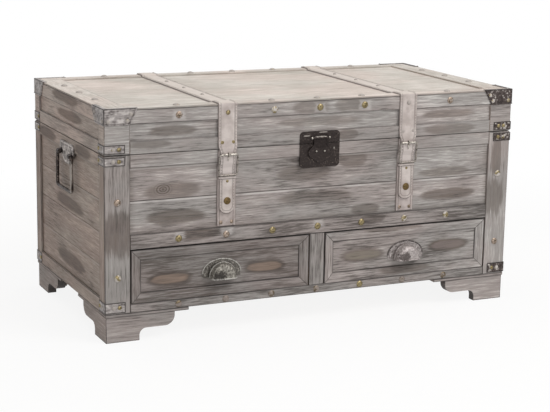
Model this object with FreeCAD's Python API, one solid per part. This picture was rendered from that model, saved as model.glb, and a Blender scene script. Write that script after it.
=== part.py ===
import FreeCAD, Part
import math
import os

Vector = FreeCAD.Vector

# A mule chest: a lidded trunk above two drawers, on bracket feet, with strap and hasp hardware.
# X runs along the front, Y towards the back and Z up. All lengths are in millimetres.
# The origin lies on the floor, under the middle of the chest with all its hardware.

# Overall sizes, to the outer faces of the trim
width = 900.0
depth = 460.0
height = 455.0
lid_height = 87.5
seam_gap = 1.5

# Boards
core_thickness = 12.0
trim_thickness = 4.0
eased_edge = 0.8
plank_width = 65.0
joint_width = 2.0
joint_depth = 1.0
overrun = 1.0

# Carcass frame
stile_width = 51.0
side_stile_width = 33.0
centre_stile_width = 33.0
top_rail_height = 25.0
drawer_rail_height = 29.0
drawer_opening_height = 108.0
bottom_rail_height = 17.0
side_bottom_rail_height = 27.0
trunk_floor_thickness = 9.0
trunk_floor_drop = 12.0
guide_height = 38.0

# Feet
foot_height = 51.0
foot_inset = 2.0
foot_length = 141.0
foot_sole = 68.0
foot_thickness = 18.0
foot_arm_height = 27.0
foot_cove_radius = 14.0
foot_lobe_radius = 20.0
foot_block_clearance = 6.0
pad_thickness = 6.0
pad_overhang = 31.0
pad_width = 50.0

# Lid
lid_top_thickness = 10.0
lid_upper_batten_height = 27.0
lid_lower_batten_height = 24.5
top_batten_thickness = 3.0
top_batten_width = 30.0
top_side_batten_width = 51.0

# Drawers
drawer_side_gap = 2.0
drawer_top_gap = 2.0
drawer_back_gap = 38.0
running_clearance = 0.3
drawer_front_thickness = 12.0
drawer_side_thickness = 10.0
drawer_side_drop = 22.0
drawer_bottom_thickness = 5.0
drawer_bottom_rise = 4.0
moulding_width = 20.0
moulding_thickness = 5.0
moulding_flat = 9.0
moulding_lip = 1.5

# Cup pulls
pull_width = 83.0
pull_height = 37.0
pull_rise = 2.0
pull_plate = 1.6
pull_ear_height = 9.0
pull_ear_radius = 5.0
cup_width = 56.0
cup_height = 31.0
cup_projection = 22.0
cup_wall = 1.6
cup_sides = 14
cup_depth_shares = (0, 0.5, 0.78, 0.93, 1)
cup_girth_shares = (1, 0.96, 0.89, 0.81, 0.7)

# Straps
strap_spread = 200.0
strap_width = 40.0
strap_thickness = 3.0
strap_clearance = 0.3
strap_back_drop = 30.0
strap_slope = 10.0
strap_end_gap = 3.0
tail_inset = 3.5
tail_tip_share = 0.163
tail_tip_radius = 14.0
buckle_drop = 11.0
buckle_height_share = 0.268
buckle_side_gap = 3.0
buckle_corner_radius = 3.5
buckle_wire_radius = 1.9
buckle_wire_sides = 6
buckle_roller_radius = 2.6
buckle_sleeve_wall = 1.6
prong_length = 8.0
prong_radius = 1.4
snap_radius = 7.5
snap_dome = 2.6
snap_share = 0.33

# Hasp
hasp_plate_width = 88.0
hasp_plate_thickness = 2.0
hasp_plate_corner = 8.0
hasp_upper_height = 23.5
hasp_lower_height = 48.0
hasp_axis_rise = 10.5
hasp_face_gap = 0.3
hasp_knuckle_radius = 3.0
hasp_knuckle_length = 36.0
hasp_flap_knuckle_length = 22.0
hasp_pin_radius = 1.5
hasp_flap_thickness = 2.0
hasp_flap_clearance = 0.5
hasp_neck_width = 29.0
hasp_neck_length = 14.0
hasp_flap_width = 66.0
hasp_flap_length = 52.0
hasp_cheek_drop = 33.0
hasp_cheek_radius = 11.0
hasp_neck_radius = 7.0
hasp_tip_radius = 7.0
hasp_stud_radius = 3.0
hasp_stud_dome = 2.2
hasp_stud_pitch = 18.0
hasp_stud_drop = 27.0

# Lid hinges
hinge_spread = 275.0
hinge_width = 60.0
hinge_leaf_height = 16.0
hinge_leaf_thickness = 1.5
hinge_knuckle_radius = 3.5
hinge_pin_radius = 2.0
hinge_knuckle_count = 3
hinge_face_gap = 0.3
knuckle_gap = 0.3
pin_clearance = 0.05

# Bail handles
handle_plate_width = 92.0
handle_plate_height = 43.0
handle_plate_drop = 10.0
handle_plate_thickness = 2.0
handle_plate_corner = 9.0
handle_shoulder = 20.0
handle_tab_width = 28.0
handle_tab_radius = 8.0
eye_spread = 36.0
eye_drop = 23.0
eye_radius = 5.0
eye_length = 10.0
bail_radius = 3.0
bail_sides = 10
bail_clearance = 0.1
bail_drop = 71.0
bail_flare = 4.0
bail_shoulder_radius = 5.0
bail_grip_radius = 11.0
bail_end_reach = 3.0

# Corner metal and tacks
metal_thickness = 1.0
cap_length = 66.0
cap_foot_length = 50.0
cap_lip = 7.0
bracket_length = 41.0
bracket_side_length = 34.0
bracket_height = 17.0
bottom_bracket_height = 21.0
bracket_edge_gap = 2.5
tack_radius = 6.5
tack_dome = 3.2
dome_sides = 8
roll_sides = 12
dome_ring_shares = (1, 0.45)
bend_steps = 4
strap_tack_spread = 11.5
strap_tack_inset = 7.0
strap_tack_radius = 3.5
strap_tack_dome = 1.8

# Faces and levels worked out from the sizes above
half_width = width / 2
front_reach = cup_projection + pull_plate - moulding_thickness
back_reach = hinge_face_gap + 2 * hinge_knuckle_radius
middle_y = (front_reach - back_reach) / 2
front_y = middle_y - depth / 2
back_y = middle_y + depth / 2
core_x = half_width - trim_thickness
inner_x = core_x - core_thickness
core_front = front_y + trim_thickness
core_back = back_y - trim_thickness
inner_front = core_front + core_thickness
inner_back = core_back - core_thickness
stile_x = half_width - stile_width
side_stile_front = front_y + side_stile_width
side_stile_back = back_y - side_stile_width

body_bottom = foot_height + pad_thickness
bay_bottom = body_bottom + bottom_rail_height
bay_top = bay_bottom + drawer_opening_height
drawer_rail_top = bay_top + drawer_rail_height
lid_bottom = height - lid_height
body_top = lid_bottom - seam_gap
seam_z = (body_top + lid_bottom) / 2
top_rail_bottom = body_top - top_rail_height
side_rail_top = body_bottom + side_bottom_rail_height
trunk_floor_top = drawer_rail_top - trunk_floor_drop
trunk_floor_bottom = trunk_floor_top - trunk_floor_thickness

lid_panel_top = height - top_batten_thickness
lid_panel_bottom = lid_panel_top - lid_top_thickness
lid_upper_batten_bottom = lid_panel_top - lid_upper_batten_height
lid_lower_batten_top = lid_bottom + lid_lower_batten_height

drawer_left_x = -stile_x + drawer_side_gap
drawer_right_x = -centre_stile_width / 2 - drawer_side_gap
drawer_middle_x = (drawer_left_x + drawer_right_x) / 2
drawer_bottom_z = bay_bottom + running_clearance
drawer_top_z = bay_top - drawer_top_gap
drawer_face = front_y + moulding_thickness
drawer_back = drawer_face + drawer_front_thickness

tack_pitch = strap_spread / 2
strap_low_end = drawer_rail_top + strap_end_gap
tail_inner = -strap_thickness - strap_clearance
tail_outer = tail_inner - strap_thickness
tail_top = lid_bottom - strap_clearance
strap_run = tail_top - strap_low_end
tail_tip = strap_low_end + strap_run * tail_tip_share
buckle_top = lid_bottom - buckle_drop
buckle_height = strap_run * buckle_height_share
buckle_bottom = buckle_top - buckle_height
buckle_rise = strap_clearance + buckle_roller_radius
buckle_half = strap_width / 2 - tail_inset + buckle_side_gap
sleeve_half = buckle_half - buckle_corner_radius - strap_clearance
buckle_lean = trim_thickness * min(1, max(0, (top_rail_bottom - buckle_bottom) / strap_slope))

hasp_axis_y = front_y - hasp_plate_thickness - hasp_face_gap - hasp_knuckle_radius
hasp_axis_z = lid_bottom + hasp_axis_rise
hinge_axis_y = back_y + hinge_face_gap + hinge_knuckle_radius
handle_top = body_top - handle_plate_drop
eye_z = handle_top - eye_drop
eye_x = -half_width - handle_plate_thickness - eye_radius


def board(x, y, z):
    """A board between the low and high ends given for each axis."""
    corner = Vector(x[0], y[0], z[0])
    return Part.makeBox(x[1] - x[0], y[1] - y[0], z[1] - z[0], corner)


def eased(shape):
    """Takes the sharp edge off every corner of a board."""
    return shape.makeChamfer(eased_edge, shape.Edges)


def trim_board(x, y, z):
    """A board with eased edges."""
    return eased(board(x, y, z))


def front_trim(x, z):
    """A trim board on the front face."""
    return trim_board(x, (front_y, core_front), z)


def side_trim(y, z):
    """A trim board on the left side."""
    return trim_board((-half_width, -core_x), y, z)


def other_side(shape):
    """The same piece on the right of the chest."""
    return shape.mirror(Vector(0, 0, 0), Vector(1, 0, 0))


def other_end(shape):
    """The same piece at the back of the chest."""
    return shape.mirror(Vector(0, middle_y, 0), Vector(0, 1, 0))


def both_sides(*shapes):
    return [copy for shape in shapes for copy in (shape, other_side(shape))]


def four_corners(*shapes):
    return both_sides(*[copy for shape in shapes for copy in (shape, other_end(shape))])


def bend(before, corner, after, radius):
    """The start, middle and end of the arc that rounds a corner, or the corner where it is sharp."""
    if not radius:
        return [corner]
    back = (before - corner).normalize()
    ahead = (after - corner).normalize()
    half_turn = back.getAngle(ahead) / 2
    setback = radius / math.tan(half_turn)
    reach = radius / math.sin(half_turn) - radius
    inward = (back + ahead).normalize()
    return [corner + back * setback, corner + inward * reach, corner + ahead * setback]


def bent_path(points, radii, closed=False):
    """The edges of straight runs from point to point, with each corner bent to its radius."""
    count = len(points)
    bends = [bend(points[i - 1], points[i], points[(i + 1) % count], radii[i]) for i in range(count)]
    edges = []
    for i, stops in enumerate(bends):
        if len(stops) > 1:
            edges.append(Part.Arc(*stops).toShape())
        if closed or i + 1 < count:
            edges.append(Part.LineSegment(stops[-1], bends[(i + 1) % count][0]).toShape())
    return edges


def plate(corners, travel):
    """A sheet or bar: a closed outline of points with their corner radii, pushed along a direction."""
    points, radii = zip(*corners)
    return Part.Face(Part.Wire(bent_path(points, radii, closed=True))).extrude(travel)


def sharp(*points):
    """An outline with no rounded corners."""
    return [(point, 0) for point in points]


def cylinder(radius, start, end):
    run = end - start
    return Part.makeCylinder(radius, run.Length, start, run)


def ring(sides, radius, middle, along, across):
    """The corners of a ring of straight sides, square to the direction along, with one corner across."""
    second = along.cross(across)
    turns = [2 * math.pi * i / sides for i in range(sides)]
    return [middle + (across * math.cos(turn) + second * math.sin(turn)) * radius for turn in turns]


def flat_face(*points):
    return Part.Face(Part.makePolygon([*points, points[0]]))


def faceted(rings, closed=False):
    """A solid of flat sides from ring to ring, and back to the first where it is closed."""
    next_rings = rings[1:] + rings[:1] if closed else rings[1:]
    faces = []
    for near, far in zip(rings, next_rings):
        faces.extend(flat_face(near[i - 1], near[i], far[i], far[i - 1]) for i in range(len(near)))
    if not closed:
        faces.extend([flat_face(*rings[0]), flat_face(*rings[-1])])
    return Part.Solid(Part.Shell(faces))


def rod(path, radius, sides, across, closed=False):
    """A rod of flat sides along a bent path that lies in one plane, square to the direction across."""
    rings = []
    for edge in path:
        steps = bend_steps if edge.Curve.TypeId == "Part::GeomCircle" else 1
        span = (edge.LastParameter - edge.FirstParameter) / steps
        for i in range(steps):
            at = edge.FirstParameter + span * i
            rings.append(ring(sides, radius, edge.valueAt(at), edge.tangentAt(at), across))
    if not closed:
        at = path[-1].LastParameter
        rings.append(ring(sides, radius, path[-1].valueAt(at), path[-1].tangentAt(at), across))
    return faceted(rings, closed)


def roll(radius, start, end):
    """A straight rod of flat sides, level with the floor."""
    along = (end - start).normalize()
    return faceted([ring(roll_sides, radius, middle, along, Vector(0, 0, 1)) for middle in (start, end)])


def dome(radius, rise, base, outward):
    """A domed head of flat facets, which stands on a face that looks outward."""
    ball = (radius * radius + rise * rise) / (2 * rise)
    edge = math.asin(radius / ball)
    rings = []
    for share in dome_ring_shares:
        reach = ball * math.sin(edge * share)
        level = rise - ball * (1 - math.cos(edge * share))
        rings.append(ring(dome_sides, reach, base + outward * level, outward, Vector(1, 0, 0)))
    return faceted(rings)


def plank_places(low, high):
    """Where the joints fall when a field is laid with whole planks of about one width."""
    count = max(2, round((high - low) / plank_width))
    return [low + (high - low) * i / count for i in range(1, count)]


def grooved(panel, low, high, start, run, across, outward):
    """Cuts the V-shaped plank joints of a field into the face of a panel that looks outward."""
    spread = across * (joint_width / 2) * (1 + overrun / joint_depth)
    lift = outward * overrun
    for place in plank_places(low, high):
        at = start + across * place
        cut = plate(sharp(at - spread + lift, at + spread + lift, at - outward * joint_depth), run)
        panel = panel.cut(cut)
    return panel


def side_panel():
    panel = board((-core_x, -inner_x), (core_front, core_back), (body_bottom, body_top))
    start = Vector(-core_x, side_stile_front, 0)
    run = Vector(0, side_stile_back - side_stile_front, 0)
    return grooved(panel, side_rail_top, top_rail_bottom, start, run, Vector(0, 0, 1), Vector(-1, 0, 0))


def front_panel():
    panel = board((-inner_x, inner_x), (core_front, inner_front), (bay_top, body_top))
    start = Vector(-stile_x, core_front, 0)
    run = Vector(2 * stile_x, 0, 0)
    return grooved(panel, drawer_rail_top, top_rail_bottom, start, run, Vector(0, 0, 1), Vector(0, -1, 0))


def back_panel():
    panel = board((-inner_x, inner_x), (inner_back, core_back), (body_bottom, body_top))
    start = Vector(-stile_x, core_back, 0)
    run = Vector(2 * stile_x, 0, 0)
    return grooved(panel, side_rail_top, top_rail_bottom, start, run, Vector(0, 0, 1), Vector(0, 1, 0))


def drawer_partition():
    """The upright between the drawers, notched at the front to clear the front panel."""
    across = (-core_thickness / 2, core_thickness / 2)
    low = board(across, (core_front, inner_back), (bay_bottom, bay_top))
    high = board(across, (inner_front, inner_back), (bay_top, trunk_floor_bottom))
    return low.fuse(high).removeSplitter()


def carcass_boards():
    bay_z = (bay_bottom, bay_top)
    body_z = (body_bottom, body_top)
    top_rail_z = (top_rail_bottom, body_top)
    low_rail_z = (body_bottom, side_rail_top)
    inside_y = (inner_front, inner_back)
    bay_y = (core_front, inner_back)
    across_y = (side_stile_front, side_stile_back)
    across_x = (-stile_x, stile_x)
    inside_x = (-inner_x, inner_x)
    half_stile = centre_stile_width / 2
    half_core = core_thickness / 2
    guide_z = (bay_bottom, bay_bottom + guide_height)
    side = side_panel()
    front_stile = front_trim((-half_width, -stile_x), body_z)
    front_top_rail = front_trim(across_x, top_rail_z)
    back_low_rail = other_end(front_trim(across_x, low_rail_z))
    outer_guide = board((-inner_x, -stile_x), bay_y, guide_z)
    inner_guide = board((-half_stile, -half_core), bay_y, guide_z)
    return {
        "side_panel_left": [side],
        "side_panel_right": [other_side(side)],
        "front_panel": [front_panel()],
        "back_panel": [back_panel()],
        "trunk_floor": [board(inside_x, inside_y, (trunk_floor_bottom, trunk_floor_top))],
        "base_board": [board(inside_x, bay_y, (body_bottom, bay_bottom))],
        "front_stiles": both_sides(front_stile),
        "side_stiles": four_corners(side_trim((core_front, side_stile_front), body_z)),
        "front_top_rail": [front_top_rail],
        "side_top_rails": both_sides(side_trim(across_y, top_rail_z)),
        "side_bottom_rails": both_sides(side_trim(across_y, low_rail_z)),
        "back_frame": [*both_sides(other_end(front_stile)), other_end(front_top_rail), back_low_rail],
        "drawer_rail": [front_trim(across_x, (bay_top, drawer_rail_top))],
        "bottom_rail": [front_trim(across_x, (body_bottom, bay_bottom))],
        "centre_stile": [front_trim((-half_stile, half_stile), bay_z)],
        "drawer_partition": [drawer_partition()],
        "drawer_guides": both_sides(outer_guide, inner_guide),
    }


def turned_in(shape):
    """The same piece along the side of a corner instead of along its front."""
    return shape.mirror(Vector(0, 0, 0), Vector(1, -1, 0))


def at_corner(shape, inset):
    """Moves a piece that is drawn at the origin to the front left corner."""
    return shape.translated(Vector(-half_width + inset, front_y + inset, 0))


def foot_bracket():
    """One bracket of a foot, with its corner at the origin: a cove, a step and a rounded lobe."""
    step_z = foot_height - foot_arm_height
    outline = [
        (Vector(0, 0, 0), 0),
        (Vector(foot_sole, 0, 0), 0),
        (Vector(foot_sole, 0, step_z), foot_cove_radius),
        (Vector(foot_length, 0, step_z), foot_lobe_radius),
        (Vector(foot_length, 0, foot_height), 0),
        (Vector(0, 0, foot_height), 0),
    ]
    bar = plate(outline, Vector(0, foot_thickness, 0))
    reach = foot_thickness + overrun
    past_corner = sharp(
        Vector(-overrun, -overrun, -overrun),
        Vector(reach, reach, -overrun),
        Vector(-overrun, reach, -overrun),
    )
    return bar.cut(plate(past_corner, Vector(0, 0, foot_height + 2 * overrun)))


def feet():
    front = foot_bracket()
    pair = [at_corner(front, foot_inset), at_corner(turned_in(front), foot_inset)]
    block_low = foot_inset + foot_thickness
    block_span = (block_low, pad_width)
    block = at_corner(board(block_span, block_span, (foot_block_clearance, foot_height)), 0)
    pad_length = foot_length + pad_overhang
    pad_outline = sharp(
        Vector(0, 0, foot_height),
        Vector(pad_length, 0, foot_height),
        Vector(pad_length, pad_width, foot_height),
        Vector(pad_width, pad_width, foot_height),
        Vector(pad_width, pad_length, foot_height),
        Vector(0, pad_length, foot_height),
    )
    pad = at_corner(eased(plate(pad_outline, Vector(0, 0, pad_thickness))), 0)
    return {
        "foot_front_left": pair,
        "foot_front_right": [other_side(shape) for shape in pair],
        "foot_back_left": [other_end(shape) for shape in pair],
        "foot_back_right": [other_side(other_end(shape)) for shape in pair],
        "foot_blocks": four_corners(block),
        "foot_pads": four_corners(pad),
    }


def lid_top_panel():
    panel = board((-core_x, core_x), (core_front, core_back), (lid_panel_bottom, lid_panel_top))
    field_x = half_width - top_side_batten_width
    start = Vector(-field_x, 0, lid_panel_top)
    run = Vector(2 * field_x, 0, 0)
    low = front_y + top_batten_width
    high = back_y - top_batten_width
    return grooved(panel, low, high, start, run, Vector(0, 1, 0), Vector(0, 0, 1))


def lid_boards():
    wall_z = (lid_bottom, lid_panel_bottom)
    lower_z = (lid_bottom, lid_lower_batten_top)
    upper_z = (lid_upper_batten_bottom, lid_panel_top)
    stile_z = (lid_bottom, lid_upper_batten_bottom)
    top_z = (lid_panel_top, height)
    full_x = (-half_width, half_width)
    across_x = (-stile_x, stile_x)
    across_y = (side_stile_front, side_stile_back)
    core_y = (core_front, core_back)
    field_y = (front_y + top_batten_width, back_y - top_batten_width)
    top_front = trim_board(full_x, (front_y, front_y + top_batten_width), top_z)
    top_side = trim_board((-half_width, -half_width + top_side_batten_width), field_y, top_z)
    upper_front = front_trim(full_x, upper_z)
    lower_front = front_trim(across_x, lower_z)
    front_stile = front_trim((-half_width, -stile_x), stile_z)
    side_stile = side_trim((core_front, side_stile_front), stile_z)
    front_board = board((-inner_x, inner_x), (core_front, inner_front), wall_z)
    return {
        "lid_top_panel": [lid_top_panel()],
        "lid_front_board": [front_board],
        "lid_back_board": [other_end(front_board)],
        "lid_side_boards": both_sides(board((-core_x, -inner_x), core_y, wall_z)),
        "lid_top_battens": [top_front, other_end(top_front), *both_sides(top_side)],
        "lid_upper_battens": [upper_front, other_end(upper_front), *both_sides(side_trim(core_y, upper_z))],
        "lid_lower_battens": [lower_front, other_end(lower_front), *both_sides(side_trim(across_y, lower_z))],
        "lid_stiles": four_corners(front_stile, side_stile),
    }


def corner_angle(leg, side_leg, *lips):
    """Sheet metal folded round a corner: a front leg, a side leg and any lips on top."""
    out = Vector(0, -metal_thickness, 0)
    angle = plate(leg, out).fuse([turned_in(plate(side_leg, out)), *lips])
    return at_corner(angle.removeSplitter(), 0)


def edge_bracket(low, high):
    """A small angle of sheet metal between two heights."""

    def leg(length):
        return sharp(
            Vector(-metal_thickness, 0, low),
            Vector(length, 0, low),
            Vector(length, 0, high),
            Vector(-metal_thickness, 0, high),
        )

    return corner_angle(leg(bracket_length), leg(bracket_side_length))


def lid_cap():
    """A lid corner cap, whose legs lean out towards the top and fold over it."""
    top = height + metal_thickness
    leg = sharp(
        Vector(-metal_thickness, 0, lid_upper_batten_bottom),
        Vector(cap_foot_length, 0, lid_upper_batten_bottom),
        Vector(cap_length, 0, height),
        Vector(cap_length, 0, top),
        Vector(-metal_thickness, 0, top),
    )
    lip = board((-metal_thickness, cap_length), (-metal_thickness, cap_lip), (height, top))
    return corner_angle(leg, leg, lip, turned_in(lip))


def corner_metal():
    lid_low = lid_bottom + bracket_edge_gap
    body_high = body_top - bracket_edge_gap
    bottom_low = body_bottom + bracket_edge_gap
    top_bracket = edge_bracket(body_high - bracket_height, body_high)
    bottom_bracket = edge_bracket(bottom_low, bottom_low + bottom_bracket_height)
    return {
        "lid_corner_caps": four_corners(lid_cap()),
        "lid_corner_brackets": four_corners(edge_bracket(lid_low, lid_low + bracket_height)),
        "body_corner_brackets": four_corners(top_bracket, bottom_bracket),
    }


def tack(x, y, z, outward):
    return dome(tack_radius, tack_dome, Vector(x, y, z), outward)


def strap_tacks(y, z):
    """Two small tacks side by side on the front of each strap."""
    left = -strap_spread - strap_tack_spread
    right = -strap_spread + strap_tack_spread
    front = Vector(0, -1, 0)
    heads = [dome(strap_tack_radius, strap_tack_dome, Vector(x, y, z), front) for x in (left, right)]
    return both_sides(*heads)


def tack_row(reach):
    """Places along a row of tacks that is centred and stays within a reach to either side."""
    steps = int((reach - tack_radius) // tack_pitch)
    return [step * tack_pitch for step in range(-steps, steps + 1)]


def lid_tacks():
    front = Vector(0, -1, 0)
    up = Vector(0, 0, 1)
    row_y = front_y + top_batten_width / 2
    batten_z = (lid_upper_batten_bottom + lid_panel_top) / 2
    pair_z = (lid_bottom + lid_lower_batten_top) / 2
    strap_face = front_y - strap_thickness
    strap_top = lid_panel_top + strap_thickness
    side_x = half_width - top_side_batten_width / 2
    heads = []
    for x in tack_row(half_width - cap_length):
        if abs(x) != strap_spread:
            on_top = tack(x, row_y, height, up)
            heads.extend([tack(x, front_y, batten_z, front), on_top, other_end(on_top)])
    for y in tack_row(depth / 2 - top_batten_width):
        on_side = tack(-side_x, middle_y + y, height, up)
        on_strap = tack(-strap_spread, middle_y + y, strap_top, up)
        heads.extend(both_sides(on_side, on_strap))
    heads.extend(both_sides(tack(-strap_spread, strap_face, batten_z, front)))
    return heads + strap_tacks(strap_face, pair_z)


def body_tacks():
    front = Vector(0, -1, 0)
    rail_z = (bay_top + drawer_rail_top) / 2
    low_rail_z = (body_bottom + bay_bottom) / 2
    stile_middle = half_width - stile_width / 2
    heads = []
    for x in tack_row(stile_x):
        heads.extend([tack(x, front_y, rail_z, front), tack(x, front_y, low_rail_z, front)])
    for z in ((bay_bottom + bay_top) / 2, (drawer_rail_top + top_rail_bottom) / 2):
        heads.extend(both_sides(tack(-stile_middle, front_y, z, front)))
    return heads + strap_tacks(core_front - strap_thickness, strap_low_end + strap_tack_inset)


def strap_side(corners):
    """A strap of the full width on the left, from its side view: places in Y and Z, and corner radii."""
    edge = -strap_spread - strap_width / 2
    outline = [(Vector(edge, y, z), radius) for y, z, radius in corners]
    return plate(outline, Vector(strap_width, 0, 0))


def upper_strap():
    """From the back of the lid, over its top and down its front to the seam."""
    face = front_y - strap_thickness
    rear = back_y + strap_thickness
    top = height + strap_thickness
    field_top = lid_panel_top + strap_thickness
    step_front = front_y + top_batten_width
    step_back = back_y - top_batten_width
    end = lid_bottom + strap_clearance
    back_end = height - strap_back_drop
    return strap_side(
        [
            (front_y, end, 0),
            (face, end, 0),
            (face, top, strap_thickness),
            (step_front, top, 0),
            (step_front + strap_thickness, field_top, 0),
            (step_back - strap_thickness, field_top, 0),
            (step_back, top, 0),
            (rear, top, strap_thickness),
            (rear, back_end, 0),
            (back_y, back_end, 0),
            (back_y, height, 0),
            (step_back, height, 0),
            (step_back, lid_panel_top, 0),
            (step_front, lid_panel_top, 0),
            (step_front, height, 0),
            (front_y, height, 0),
        ]
    )


def hanging_strap(top, end, inner, outer):
    """A strap that hangs over the top rail and bends in to the recessed front panel."""
    knee = top_rail_bottom - strap_slope
    return strap_side(
        [
            (front_y + inner, top, 0),
            (front_y + inner, top_rail_bottom, 0),
            (core_front + inner, knee, 0),
            (core_front + inner, end, 0),
            (core_front + outer, end, 0),
            (core_front + outer, knee, 0),
            (front_y + outer, top_rail_bottom, 0),
            (front_y + outer, top, 0),
        ]
    )


def buckle_place(x, out, z):
    """A point of the left buckle, which leans in with the strap from its top to its bottom."""
    lean = buckle_lean * (buckle_top - z) / buckle_height
    return Vector(-strap_spread + x, front_y + tail_outer - out + lean, z)


def strap_tail():
    """The loose end of a strap: it has a rounded tip, and a sleeve that holds the buckle's lower bar."""
    half = strap_width / 2 - tail_inset
    start = front_y - strap_width
    front_view = [
        (Vector(-strap_spread - half, start, tail_top), 0),
        (Vector(-strap_spread - half, start, tail_tip), tail_tip_radius),
        (Vector(-strap_spread + half, start, tail_tip), tail_tip_radius),
        (Vector(-strap_spread + half, start, tail_top), 0),
    ]
    tail = hanging_strap(tail_top, tail_tip, tail_inner, tail_outer)
    tail = tail.common(plate(front_view, Vector(0, 2 * strap_width, 0)))
    bar_start = buckle_place(-sleeve_half, buckle_rise, buckle_bottom)
    bar_end = buckle_place(sleeve_half, buckle_rise, buckle_bottom)
    bore_radius = buckle_wire_radius + strap_clearance
    sleeve_radius = bore_radius + buckle_sleeve_wall
    sleeve = cylinder(sleeve_radius, bar_start, bar_end)
    root_x = (bar_start.x, bar_end.x)
    root_z = (buckle_bottom - sleeve_radius, buckle_bottom)
    root = board(root_x, (bar_start.y, core_front + tail_outer), root_z)
    behind = board(root_x, (core_front + tail_outer, core_front), (root_z[0], buckle_top))
    solid = tail.fuse([sleeve.cut(behind), root]).removeSplitter()
    return solid.cut(cylinder(bore_radius, bar_start, bar_end))


def strap_fittings():
    """The buckle frame with its roller and prong, and the snap that holds the strap tail down."""
    bottom = [(-buckle_half, buckle_bottom), (buckle_half, buckle_bottom)]
    top = [(buckle_half, buckle_top), (-buckle_half, buckle_top)]
    points = [buckle_place(x, buckle_rise, z) for x, z in bottom + top]
    frame_path = bent_path(points, [buckle_corner_radius] * len(points), closed=True)
    outward = (points[1] - points[0]).cross(points[2] - points[1]).normalize()
    roller_half = buckle_half - buckle_corner_radius
    roller_start = buckle_place(-roller_half, buckle_rise, buckle_top)
    roller_end = buckle_place(roller_half, buckle_rise, buckle_top)
    roller = roll(buckle_roller_radius, roller_start, roller_end)
    prong_end = buckle_place(0, buckle_rise, buckle_top - buckle_roller_radius - prong_length)
    prong = cylinder(prong_radius, buckle_place(0, buckle_rise, buckle_top), prong_end)
    wire = rod(frame_path, buckle_wire_radius, buckle_wire_sides, outward, closed=True)
    frame = wire.fuse([roller, prong]).removeSplitter()
    snap_z = tail_tip + (buckle_bottom - tail_tip) * snap_share
    snap_at = Vector(-strap_spread, core_front + tail_outer, snap_z)
    return [frame, dome(snap_radius, snap_dome, snap_at, Vector(0, -1, 0))]


def straps():
    upper = upper_strap()
    lower = hanging_strap(body_top - seam_gap, strap_low_end, 0, -strap_thickness)
    tail = strap_tail()
    fittings = strap_fittings()
    return {
        "upper_strap_left": [upper],
        "upper_strap_right": [other_side(upper)],
        "lower_straps": both_sides(lower),
        "strap_tail_left": [tail],
        "strap_tail_right": [other_side(tail)],
        "strap_fittings_left": fittings,
        "strap_fittings_right": [other_side(shape) for shape in fittings],
    }


def hasp_sheet(seam_end, far_end):
    """Half of the hasp's backing plate on the front face: its far corners are rounded."""
    half = hasp_plate_width / 2
    outline = [
        (Vector(-half, front_y, seam_end), 0),
        (Vector(-half, front_y, far_end), hasp_plate_corner),
        (Vector(half, front_y, far_end), hasp_plate_corner),
        (Vector(half, front_y, seam_end), 0),
    ]
    return plate(outline, Vector(0, -hasp_plate_thickness, 0))


def hasp_axis(x):
    return Vector(x, hasp_axis_y, hasp_axis_z)


def hasp_bore():
    half = hasp_plate_width / 2
    return cylinder(hasp_pin_radius + pin_clearance, hasp_axis(-half), hasp_axis(half))


def hasp_upper_plate():
    """The plate on the lid, with a knuckle at each end of the hasp's pin."""
    outer = hasp_knuckle_length / 2
    inner = hasp_flap_knuckle_length / 2 + knuckle_gap
    web_y = (hasp_axis_y, front_y - hasp_plate_thickness)
    web_z = (hasp_axis_z, hasp_axis_z + hasp_knuckle_radius)
    knuckle = roll(hasp_knuckle_radius, hasp_axis(-outer), hasp_axis(-inner))
    knuckle = knuckle.fuse(board((-outer, -inner), web_y, web_z))
    sheet = hasp_sheet(lid_bottom, lid_bottom + hasp_upper_height)
    return sheet.fuse(both_sides(knuckle)).removeSplitter().cut(hasp_bore())


def hasp_flap():
    """The hanging leaf: a knuckle and a neck that flares into a shield with two studs."""
    near = front_y - hasp_plate_thickness - hasp_flap_clearance
    face = near - hasp_flap_thickness
    half_neck = hasp_neck_width / 2
    half_flap = hasp_flap_width / 2
    top = hasp_axis_z - hasp_knuckle_radius - hasp_flap_clearance
    neck = hasp_axis_z - hasp_neck_length
    cheek = hasp_axis_z - hasp_cheek_drop
    tip = hasp_axis_z - hasp_flap_length
    outline = [
        (Vector(-half_neck, near, top), 0),
        (Vector(-half_neck, near, neck), hasp_neck_radius),
        (Vector(-half_flap, near, cheek), hasp_cheek_radius),
        (Vector(0, near, tip), hasp_tip_radius),
        (Vector(half_flap, near, cheek), hasp_cheek_radius),
        (Vector(half_neck, near, neck), hasp_neck_radius),
        (Vector(half_neck, near, top), 0),
    ]
    leaf = plate(outline, Vector(0, face - near, 0))
    half_knuckle = hasp_flap_knuckle_length / 2
    knuckle = roll(hasp_knuckle_radius, hasp_axis(-half_knuckle), hasp_axis(half_knuckle))
    tongue = board((-half_knuckle, half_knuckle), (face, near), (neck, hasp_axis_z))
    stud_at = Vector(hasp_stud_pitch / 2, face, hasp_axis_z - hasp_stud_drop)
    stud = dome(hasp_stud_radius, hasp_stud_dome, stud_at, Vector(0, -1, 0))
    return leaf.fuse([knuckle, tongue, *both_sides(stud)]).removeSplitter().cut(hasp_bore())


def hasp():
    half_pin = hasp_knuckle_length / 2
    return {
        "hasp_upper_plate": [hasp_upper_plate()],
        "hasp_lower_plate": [hasp_sheet(body_top, body_top - hasp_lower_height)],
        "hasp_flap": [hasp_flap()],
        "hasp_pin": [cylinder(hasp_pin_radius, hasp_axis(-half_pin), hasp_axis(half_pin))],
    }


def hinge_axis(x):
    return Vector(x, hinge_axis_y, seam_z)


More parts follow.
